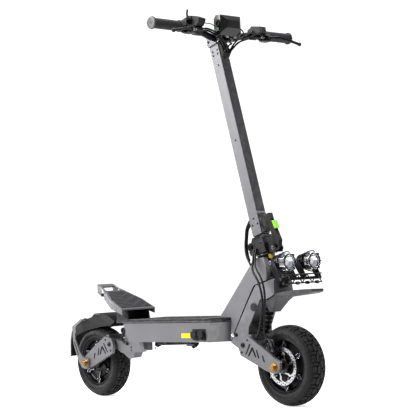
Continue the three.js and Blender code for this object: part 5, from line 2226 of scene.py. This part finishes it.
@dataclass
class Folding:
    """The folding hinge, its latch lever and the green safety catch."""

    def build(self) -> None:
        """Builds the hinge and its latch."""
        soften("hinge_block", DARK_PAINT, Body.STEERING, 0.0018, 30.0, 3)
        soften("stem_foot", BLACK_METAL, Body.STEM, 0.0008)
        soften("latch_lever", BLACK_PLASTIC, Body.LATCH, 0.0025, 35.0, 3)
        soften("safety_catch", GREEN_PLASTIC, Body.CATCH, 0.0012)
        self.pin_heads()
        self.latch_ribs()

    def pin_heads(self) -> None:
        """Adds the fold pin's heads and the side bolts of the hinge block."""
        for side in (-1, 1):
            word = side_word(side)
            y = side * 0.0322
            screws(
                f"fold_pin_head_{word}", [(0.360, y + side * 0.0036, 0.505)], (0, side, 0),
                Body.STEERING, DARK_SCREW, SocketScrew(0.0075, 0.003),
            )
            places = [(x, y, z) for x, z in ((0.402, 0.518), (0.412, 0.487), (0.378, 0.489))]
            screws(
                f"hinge_screws_{word}", places, (0, side, 0), Body.STEERING, DARK_SCREW,
                SocketScrew(0.003, 0.002),
            )
        tag = bmesh.new()
        add_turned(
            tag, ((0.0, 0.0), (0.0075, 0.0), (0.0075, 0.0012), (0.0, 0.0014)), (0.4355, -0.020, 0.4735),
            (0.96, -0.1, 0.28), 20,
        )
        make_piece("hinge_mark", tag, YELLOW_FILM, Body.STEERING)

    def latch_ribs(self) -> None:
        """Adds thumb ribs across the latch lever's upper front."""
        rib = bmesh.new()
        add_box(rib, (0.4535, -0.0068, 0.5445), (0.457, 0.0068, 0.5465))
        ribs = repeated(rib, Repeat.ROW, 5, (-0.0022, 0.0, 0.0047), finish=BLACK_PLASTIC)
        make_piece("latch_ribs", ribs, BLACK_PLASTIC, Body.LATCH, bevel=0.0005)
        bm = bmesh.new()
        for side in (-1, 1):
            SocketScrew(0.0045, 0.002).add(bm, (0.443, side * 0.019, 0.499), (0, side, 0))
        make_piece("latch_pin_heads", bm, SCREW_STEEL, Body.LATCH)


@dataclass
class Stem:
    """The stem tube, a charcoal strip of painted shade down its front, its screws and the bar clamp."""

    side_y: float = 0.0200
    screw_rows: tuple[tuple[float, float], ...] = (
        (0.368, 0.597), (0.385, 0.580), (0.362, 0.575), (0.392, 0.544), (0.372, 0.538),
        (
            0.219, 1.182,
        ), (0.240, 1.165), (0.218, 1.160), (0.242, 1.152), (0.221, 1.147), (0.242, 1.114), (0.304, 0.857),
    )

    def build(self) -> None:
        """Builds the stem and what is on it."""
        soften("stem_tube", GREY_PAINT, Body.STEM, 0.003, 30.0, 3)
        soften("stem_clamp", GREY_PAINT, Body.STEM, 0.003, 30.0, 3)
        self.paint_front_shade()
        self.side_screws()
        self.clamp_split()
        self.guide()

    def along(self, outline: Sequence[tuple[float, float]], low: float, high: float) -> bmesh.types.BMesh:
        """Makes a prism in the stem's own directions.

        Args:
            outline: Corners as (forward, up) from the steering axis.
            low: Its lower width.
            high: Its upper width.

        Returns:
            The mesh.
        """
        bm = bmesh.new()
        corners = []
        for f, s in outline:
            spot = steering_point(s, f)
            corners.append((spot.x, spot.z))
        add_prism(bm, corners, low, high)
        return bm

    def paint_front_shade(self) -> None:
        """Adds a charcoal strip of painted shade down the stem's front, and the black channel down its back.
        """
        # Painted shade: a dark strip on the stem's front face, which is dark only because it faces away from
        # the key light.
        bm = self.along([(0.0206, 0.012), (0.0222, 0.016), (0.0222, 0.539), (0.0206, 0.543)], -0.0178, 0.0178)
        make_piece("stem_front_shade_strip", bm, DARK_PAINT, Body.STEM, bevel=0.0006)
        back = self.along(
            [(-0.0206, -0.050), (-0.0216, -0.046), (-0.0216, 0.560), (-0.0206, 0.564)], -0.010, 0.010,
        )
        make_piece("stem_rear_channel", back, BLACK_PLASTIC, Body.STEM, bevel=0.0004)

    def side_screws(self) -> None:
        """Adds the dark screws on the stem's sides."""
        for side in (-1, 1):
            word = side_word(side)
            places = [(x, side * self.side_y, z) for x, z in self.screw_rows]
            screws(
                f"stem_screws_{word}", places, (0, side, 0), Body.STEM, DARK_SCREW,
                SocketScrew(0.0026, 0.0014),
            )

    def clamp_split(self) -> None:
        """Adds the clamp's split line and its pinch bolts."""
        bm = self.along([(-0.022, 0.604), (0.022, 0.622), (0.022, 0.6235), (-0.022, 0.6055)], -0.0263, 0.0263)
        make_piece("clamp_split", bm, BLACK_PLASTIC, Body.STEM)
        for side in (-1, 1):
            word = side_word(side)
            places = [steering_point(0.6125, f, side * 0.0261) for f in (-0.0135, 0.0135)]
            screws(
                f"clamp_bolts_{word}", places, (0, side, 0), Body.STEM, DARK_SCREW,
                SocketScrew(0.0036, 0.0026),
            )

    def guide(self) -> None:
        """Adds the ribbed black cable guide at the top of the stem's front."""
        bm = self.along(
            [(0.0206, 0.544), (0.030, 0.549), (0.034, 0.570), (0.030, 0.592), (0.0206, 0.596)], -0.0165,
            0.0165,
        )
        rib = self.along(
            [(0.030, 0.552), (0.0355, 0.554), (0.0355, 0.5560), (0.030, 0.5575)], -0.0168, 0.0168,
        )
        step = STEER_UP * 0.0085
        ribs = repeated(rib, Repeat.ROW, 4, tuple(step), finish=BLACK_PLASTIC)
        make_piece("stem_cable_guide", merge(bm, ribs), BLACK_PLASTIC, Body.STEM, bevel=0.0008)


@dataclass
class Cockpit:
    """The handlebar, its grips, the levers, the pods and the display."""

    bar_radius: float = 0.011
    grip_in: float = 0.187
    grip_out: float = 0.313
    grip_z: float = 1.227
    bar_route: tuple[Point, ...] = (
        (252, -310, 1227), (250, -187, 1227), (246, -140, 1226), (241, -84, 1216), (238, -34, 1204),
        (238, 34, 1204), (241, 84, 1216), (246, 140, 1226), (250, 187, 1227), (252, 310, 1227),
    )

    def build(self) -> None:
        """Builds the whole cockpit."""
        self.bar()
        for side in (-1, 1):
            self.grip(side)
            self.lever(side)
        self.pods()
        self.display()

    def bar(self) -> None:
        """Sweeps the handlebar, with a clamped middle."""
        bm = bmesh.new()
        add_tube(bm, [mm(*p) for p in self.bar_route], self.bar_radius, sides=28, steps=8)
        make_piece("bar_tube", bm, BLACK_METAL, Body.STEM, ("handlebar",), smooth=50.0)
        marks = bmesh.new()
        for y in (-0.0285, 0.0285):
            add_turned(
                marks, ((0.0112, -0.0006), (0.0114, -0.0006), (0.0114, 0.0006), (0.0112, 0.0006)),
                (0.238, y, 1.204), (0, 1, 0), 28, closed=True,
            )
        make_piece("bar_marks", marks, SCREW_STEEL, Body.STEM)

    def grip(self, side: int) -> None:
        """Turns one grip with ribs, a flange and a lock-on end cap.

        Args:
            side: -1 for the right hand, 1 for the left.
        """
        word = side_word(side)
        node = "grip_" + word
        start = Vector((0.250, side * self.grip_in, self.grip_z))
        end = Vector((0.2521, side * self.grip_out, self.grip_z))
        length = (end - start).length
        profile = [
            (0.0118, 0.0), (0.0186, 0.0), (0.019, 0.0006), (0.019, 0.0084), (0.0182, 0.009),
            (0.0162, 0.0094),
        ]
        ribs = 26
        first, last = 0.0105, length - 0.0095
        for k in range(ribs):
            at = first + (last - first) * k / ribs
            width = (last - first) / ribs
            profile += [
                (0.0159, at), (0.0168, at + 0.2 * width), (0.0168, at + 0.7 * width),
                (0.0159, at + 0.9 * width),
            ]
        profile += [
            (
                0.0162, length - 0.0088,
            ), (0.0198, length - 0.0082), (0.0205, length - 0.0075), (0.0205, length - 0.0058),
            (0.0192, length - 0.0054), (0.0192, length - 0.0034), (0.0118, length - 0.0034),
        ]
        bm = bmesh.new()
        add_turned(bm, profile, start, end - start, 48, closed=True)
        make_piece(node + "_sleeve", bm, GRIP_RUBBER, Body.STEM, (node,), smooth=40.0)
        cap = bmesh.new()
        disc = (
            (0.0, -0.006), (0.0188, -0.006), (0.0196, -0.0052), (0.0196, -0.0018), (0.0184, -0.0004),
            (0.0135, 0.0), (0.0128, -0.0008), (0.0062, -0.0008), (0.0056, 0.0), (0.003, 0.0),
            (0.0024, -0.0014), (0.0, -0.0014),
        )
        add_turned(cap, disc, end, end - start, 48)
        make_piece(node + "_end_cap", cap, CAP_GREY, Body.STEM, smooth=40.0)
        collar = bmesh.new()
        ring = (
            (0.0172, -0.0095), (0.0186, -0.0092), (0.0186, -0.0012), (0.0172, -0.001), (0.0118, -0.001),
            (0.0118, -0.0095),
        )
        add_turned(collar, ring, start, end - start, 40, closed=True)
        make_piece(node + "_collar", collar, BLACK_METAL, Body.STEM, smooth=40.0)
        screws(
            node + "_collar_screw", [start + Vector((0.0176, -side * 0.005, 0.004))], (1, 0, 0.25),
            Body.STEM, SCREW_STEEL, SocketScrew(0.0022, 0.0014),
        )

    def lever(self, side: int) -> None:
        """Rounds one brake perch and its lever, and adds their hardware.

        Args:
            side: -1 for the right hand, 1 for the left.
        """
        word = side_word(side)
        body = Body.LEVER_RIGHT if side < 0 else Body.LEVER_LEFT
        soften("brake_perch_" + word, BLACK_METAL, Body.STEM, 0.0014, 35.0, 2)
        bm = bmesh.new()
        route = [
            (276, 168, 1213), (292, 181, 1212.6), (309, 197, 1211.5), (319, 222, 1206.0),
            (325, 252, 1199.4), (328, 284, 1192.3),
        ]
        points = [mm(x, side * y, z) for x, y, z in route]
        add_tube(bm, points, lambda t: 0.0046 + 0.0026 * (1 - t) ** 2, sides=16, steps=8)
        add_turned(
            bm,
            (
                (0.0, -0.0048), (0.0078, -0.0048), (0.0082, -0.004), (0.0082, 0.004), (0.0078, 0.0048),
                (0.0, 0.0048),
            ),
            mm(276, side * 170, 1213), (0, 0, 1), 24,
        )
        ball = [
            (0.0068 * math.sin(math.pi * k / 12), -0.0068 * math.cos(math.pi * k / 12)) for k in range(13)
        ]
        add_turned(bm, ball, mm(328, side * 284, 1192.3), (0.1, side, -0.2), 24)
        make_piece(f"brake_blade_{word}", bm, BLACK_METAL, body, (f"brake_lever_{word}",), smooth=50.0)
        places = [mm(276, side * 170, 1225.2)]
        screws(
            f"lever_pivot_screw_{word}", places, (0, 0, 1), Body.STEM, SCREW_STEEL,
            SocketScrew(0.0042, 0.002),
        )
        adjuster = bmesh.new()
        barrel = (
            (0.0, 0.0), (0.0045, 0.0), (0.0045, 0.004), (0.0036, 0.005), (0.0036, 0.009),
            (0.005, 0.0095), (0.005, 0.014), (0.003, 0.017), (0.0, 0.017),
        )
        add_turned(adjuster, barrel, mm(280, side * 160.5, 1213.5), (0, -side, 0.08), 16)
        make_piece(f"lever_adjuster_{word}", adjuster, SCREW_STEEL, Body.STEM, smooth=40.0)
        clamp = bmesh.new()
        for z in (1.2405, 1.2135):
            SocketScrew(0.0024, 0.002).add(
                clamp, (0.2545, side * 0.176, z + (0.003 if z > 1.22 else -0.003)),
                (0, 0, 1 if z > 1.22 else -1),
            )
        make_piece(f"perch_screws_{word}", clamp, SCREW_STEEL, Body.STEM)

    def pods(self) -> None:
        """Rounds the throttle and switch pods and adds their faces and buttons."""
        soften("throttle_pod", BLACK_PLASTIC, Body.STEM, 0.0022, 35.0, 3)
        soften("throttle_lever", BLACK_PLASTIC, Body.THROTTLE, 0.0028, 35.0, 3)
        soften("switch_pod", BLACK_PLASTIC, Body.STEM, 0.0022, 35.0, 3)
        soften("mode_button", RUBBER, Body.BUTTON, 0.0014, 35.0, 3)
        face = bmesh.new()
        add_prism(
            face, [(0.2500, 1.2658), (0.2740, 1.2558), (0.2745, 1.2570), (0.2505, 1.2670)], -0.1245,
            -0.1015,
        )
        make_piece("throttle_pod_face", face, GLOSS_PLASTIC, Body.STEM, bevel=0.0006)
        grip = bmesh.new()
        add_box(grip, (0.206, -0.147, 1.2555), (0.2075, -0.130, 1.2567))
        lines = repeated(grip, Repeat.ROW, 5, (0.0032, 0.0, 0.00005), finish=RUBBER)
        make_piece("throttle_grip_lines", lines, RUBBER, Body.THROTTLE)
        side_face = bmesh.new()
        for k, y in enumerate((0.1315, 0.1525)):
            add_turned(
                side_face,
                ((0.0, -0.002), (0.0032, -0.002), (0.0036, 0.001), (0.003, 0.0018), (0.0, 0.002)),
                (0.2975, y, 1.2360), (1, 0, 0.05), 20,
            )
        make_piece("switch_pod_buttons", side_face, GLOSS_PLASTIC, Body.STEM)

    def display(self) -> None:
        """Rounds the display hood and adds its screen, its lamps and its seams."""
        soften("display", GLOSS_PLASTIC, Body.STEM, 0.0032, 35.0, 3)
        screen = bmesh.new()
        add_prism(
            screen, [(0.2540, 1.2300), (0.2624, 1.2580), (0.2614, 1.2583), (0.2530, 1.2303)], -0.0235,
            0.0235,
        )
        make_piece("display_screen", screen, GLOSS_PLASTIC, Body.STEM, bevel=0.0003)
        seam = bmesh.new()
        for y in (-0.0461, 0.0461):
            route = [Vector((x, y, z)) for x, z in ((0.262, 1.2340), (0.276, 1.2385), (0.2885, 1.2390))]
            add_tube(seam, route, 0.0007, 6, 3)
        make_piece("display_seam", seam, RUBBER, Body.STEM)
        lamps = bmesh.new()
        add_turned(
            lamps, ((0.0, 0.0), (0.0026, 0.0), (0.0026, 0.0012), (0.0, 0.0018)),
            (0.2780, -0.0459, 1.2275), (0.0, -1, -0.1), 16,
        )
        make_piece("display_led_green", lamps, LED_GREEN, Body.STEM)
        arm = bmesh.new()
        for y in (-0.0305, 0.0265):
            add_prism(
                arm, [(0.2505, 1.2000), (0.2665, 1.2080), (0.2760, 1.2040), (0.2525, 1.1860)], y,
                y + 0.004,
            )
        make_piece("display_bracket", arm, CAST_ALLOY, Body.STEM, bevel=0.0008)


@dataclass
class Cables:
    """Every cable and hose that runs from the bar to the wheels."""

    def build(self) -> None:
        """Builds the cables on the bar, the loop at the hinge and the brake hose."""
        self.on_the_bar()
        self.at_the_hinge()
        self.to_the_brake()

    def on_the_bar(self) -> None:
        """Adds the cables that lie over the bar and dive into the stem's guide."""
        upper = [
            (280, 152, 1214), (276, 120, 1212), (276, 90, 1204), (274, 50, 1190), (270, 24, 1168),
            (262, 8, 1148),
        ]
        piece = cable("cable_upper_skin", upper, 0.0030, Body.STEM)
        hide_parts("cable_upper")
        connector = bmesh.new()
        ribbed = [(0.0, 0.0), (0.0046, 0.0)]
        for k in range(7):
            at = 0.001 + k * 0.0034
            ribbed += [(0.0062, at), (0.0062, at + 0.0018), (0.0046, at + 0.002), (0.0046, at + 0.0032)]
        ribbed += [(0.0, 0.0255)]
        add_turned(connector, ribbed, mm(277.5, 98, 1206.5), Vector((0.0, 13.0, 4.0)), 20)
        make_piece("cable_connector", connector, RUBBER, Body.STEM)
        routes = {
            "bar_cable_right_a": (
                [
                    (280, -150, 1215), (276, -118, 1214), (266, -82, 1219), (262, -48, 1210),
                    (266, -22, 1190), (262, -4, 1158), (254, 0, 1134),
                ],
                0.0032,
            ),
            "bar_cable_right_b": (
                [
                    (258, -96, 1226), (264, -78, 1226), (268, -50, 1216), (272, -20, 1192),
                    (268, 0, 1164), (256, 6, 1138),
                ],
                0.0030,
            ),
            "bar_cable_left": (
                [
                    (262, 128, 1236), (268, 108, 1224), (272, 78, 1212), (270, 48, 1198),
                    (266, 26, 1176), (257, 10, 1146),
                ],
                0.0026,
            ),
            "display_lead": (
                [(262, -88, 1244), (276, -76, 1240), (284, -60, 1232), (286, -50, 1240), (280, -40, 1250)],
                0.0016,
            ),
            "display_loop": (
                [(290, 30, 1236), (300, 44, 1222), (298, 50, 1200), (284, 40, 1186), (270, 18, 1168)],
                0.0022,
            ),
            "guide_loop": (
                [(262, -12, 1150), (274, -16, 1158), (284, -8, 1172), (282, 8, 1182), (270, 16, 1180)],
                0.0024,
            ),
        }
        for name, (route, radius) in routes.items():
            cable(name, route, radius, Body.STEM, ends=False)

    def at_the_hinge(self) -> None:
        """Adds the two cables behind the hinge that bend as the stem folds."""
        loops = {
            "hinge_cable_main": (
                [
                    (346, -6, 584), (330, -10, 566), (326, -14, 536), (327, -18, 506), (338, -26, 480),
                    (352, -34, 462),
                ],
                0.0046,
            ),
            "hinge_cable_second": (
                [
                    (344, -14, 592), (333, -20, 566), (331, -24, 536), (332, -29, 506), (344, -37, 478),
                    (366, -43, 448),
                ],
                0.0034,
            ),
        }
        for name, (route, radius) in loops.items():
            bm = bmesh.new()
            add_tube(bm, [mm(*p) for p in route], radius, 12, 10)
            stands_for = ("cable_loop",) if name == "hinge_cable_main" else ()
            make_bending(name, bm, CABLE_SKIN, (Body.STEM, Body.STEERING), stands_for)

    def to_the_brake(self) -> None:
        """Adds the hose down the right side to the front caliper, and the motor hose beside it."""
        hoses = {
            "front_brake_hose": (
                [
                    (388, -36, 500), (392, -46, 470), (410, -64, 440), (440, -70, 400), (452, -72, 350),
                    (446, -72, 290), (440, -70, 235), (446, -60, 216),
                ],
                0.0032,
            ),
            "front_motor_hose": (
                [
                    (380, -37, 498), (384, -48, 462), (398, -66, 430), (430, -75, 392), (446, -78, 340),
                    (436, -77, 285), (420, -74, 240), (404, -70, 222),
                ],
                0.0036,
            ),
        }
        for name, (route, radius) in hoses.items():
            bm = bmesh.new()
            add_tube(bm, [mm(*p) for p in route], radius, 12, 10)
            stands_for = ("cable_brake",) if name == "front_brake_hose" else ()
            make_bending(name, bm, CABLE_SKIN, (Body.STEERING, Body.FRONT_ARM), stands_for, None)


# ---------------------------------------------------------------------------
# Studio
# ---------------------------------------------------------------------------


@dataclass(frozen=True)
class SoftBox:
    """One soft studio light."""

    name: str
    place: Point
    target: Point
    size: tuple[float, float]
    power: float
    colour: Point = (1.0, 1.0, 1.0)

    def build(self) -> None:
        """Adds the light to the scene."""
        data = bpy.data.lights.new(self.name, "AREA")
        data.shape = "RECTANGLE"
        data.size, data.size_y = self.size
        data.energy = self.power
        data.color = self.colour
        lamp = bpy.data.objects.new(self.name, data)
        bpy.context.scene.collection.objects.link(lamp)
        lamp.location = self.place
        way = Vector(self.target) - Vector(self.place)
        lamp.rotation_euler = way.to_track_quat("-Z", "Y").to_euler()


@dataclass
class Studio:
    """A pale floor, soft lights and the camera."""

    azimuth: float = math.radians(47.532)
    elevation: float = math.radians(-2.834)
    roll: float = math.radians(-3.045)
    distance: float = 4.37
    target: Point = (0.1325, 0.0, 0.6479)
    lens: float = 112.6
    floor_size: float = 14.0
    floor_lift: float = 0.5
    world_strength: float = 0.34
    boxes: tuple[SoftBox, ...] = (
        SoftBox("key", (-1.6, -3.4, 2.6), (0.0, 0.0, 0.5), (2.6, 2.2), 230.0),
        SoftBox("side", (-3.4, -0.6, 1.6), (0.0, 0.0, 0.6), (1.2, 2.4), 60.0),
        SoftBox("top", (0.2, 0.2, 3.6), (0.1, 0.0, 0.3), (2.6, 2.0), 110.0),
        SoftBox("rim", (2.0, 3.0, 2.0), (0.2, 0.0, 0.6), (1.4, 2.0), 30.0),
    )

    def build(self) -> None:
        """Builds the floor, the world, the lights and the camera."""
        self.floor()
        self.world()
        for box in self.boxes:
            box.build()
        self.camera()
        bpy.context.scene.view_settings.view_transform = "Standard"
        bpy.context.scene.view_settings.look = "Medium High Contrast"

    def floor(self) -> None:
        """Adds a plain pale floor that reflects a little."""
        bm = bmesh.new()
        half = self.floor_size / 2
        corners = ((-half, -half), (half, -half), (half, half), (-half, half))
        bm.faces.new([bm.verts.new((x, y, -0.0006)) for x, y in corners])
        mesh = bpy.data.meshes.new("studio_floor")
        bm.to_mesh(mesh)
        bm.free()
        floor = bpy.data.objects.new("studio_floor", mesh)
        bpy.context.scene.collection.objects.link(floor)
        made = bpy.data.materials.new("pale_floor")
        made.use_nodes = True
        graph = NodeGraph(made.node_tree)
        shader = made.node_tree.nodes["Principled BSDF"]
        coords = graph.node("ShaderNodeTexCoord").outputs["Object"]
        tone = graph.mix(
            graph.ramp(graph.noise(coords, 2.0), 0.3, 0.7), (0.90, 0.90, 0.90), (0.93, 0.93, 0.93),
        )
        graph.link(tone, shader.inputs["Base Color"])
        shader.inputs["Roughness"].default_value = 0.32
        shader.inputs["Specular IOR Level"].default_value = 0.15
        shader.inputs["Emission Color"].default_value = (1.0, 1.0, 1.0, 1.0)
        seen = graph.node("ShaderNodeLightPath").outputs["Is Camera Ray"]
        graph.link(graph.math("MULTIPLY", seen, self.floor_lift), shader.inputs["Emission Strength"])
        mesh.materials.append(made)

    def world(self) -> None:
        """Sets an even white surround that lights the scooter less than it shows."""
        world = bpy.data.worlds.new("studio_world")
        bpy.context.scene.world = world
        world.use_nodes = True
        graph = NodeGraph(world.node_tree)
        background = world.node_tree.nodes["Background"]
        background.inputs["Color"].default_value = (1.0, 1.0, 1.0, 1.0)
        seen = graph.node("ShaderNodeLightPath").outputs["Is Camera Ray"]
        strength = graph.ramp(seen, 0.0, 1.0, (self.world_strength, 1.0))
        graph.link(strength, background.inputs["Strength"])

    def camera(self) -> None:
        """Adds the camera and makes it the scene's."""
        back = Vector(
            (
                math.sin(self.azimuth) * math.cos(self.elevation),
                -math.cos(self.azimuth) * math.cos(self.elevation),
                math.sin(self.elevation),
            )
        )
        right = Vector((math.cos(self.azimuth), math.sin(self.azimuth), 0.0))
        up = back.cross(right)
        tilted = right * math.cos(self.roll) + up * math.sin(self.roll)
        upright = up * math.cos(self.roll) - right * math.sin(self.roll)
        turn = Matrix((tilted, upright, back)).transposed()
        data = bpy.data.cameras.new("camera")
        data.lens = self.lens
        data.sensor_width = 36.0
        camera = bpy.data.objects.new("camera", data)
        bpy.context.scene.collection.objects.link(camera)
        camera.matrix_world = Matrix.Translation(Vector(self.target) + back * self.distance) @ turn.to_4x4()
        bpy.context.scene.camera = camera


def main() -> None:
    """Builds every sub-assembly in order, then the studio."""
    logging.basicConfig(level=logging.INFO, format="%(name)s: %(message)s", stream=sys.stdout)
    sub_assemblies = (
        Deck(),
        Neck(),
        Fork(),
        LightBar(),
        SwingArm("front", 1, Body.FRONT_ARM),
        SwingArm("rear", -1, Body.REAR_ARM, disc_side=1),
        Wheel("front", Body.FRONT_WHEEL, 0.480),
        Wheel("rear", Body.REAR_WHEEL, -0.480, disc_side=1),
        RearEnd(),
        Folding(),
        Stem(),
        Cockpit(),
        Cables(),
        Studio(),
    )
    for part in sub_assemblies:
        LOG.info("building %s", type(part).__name__)
        part.build()


if __name__ == "__main__":
    main()
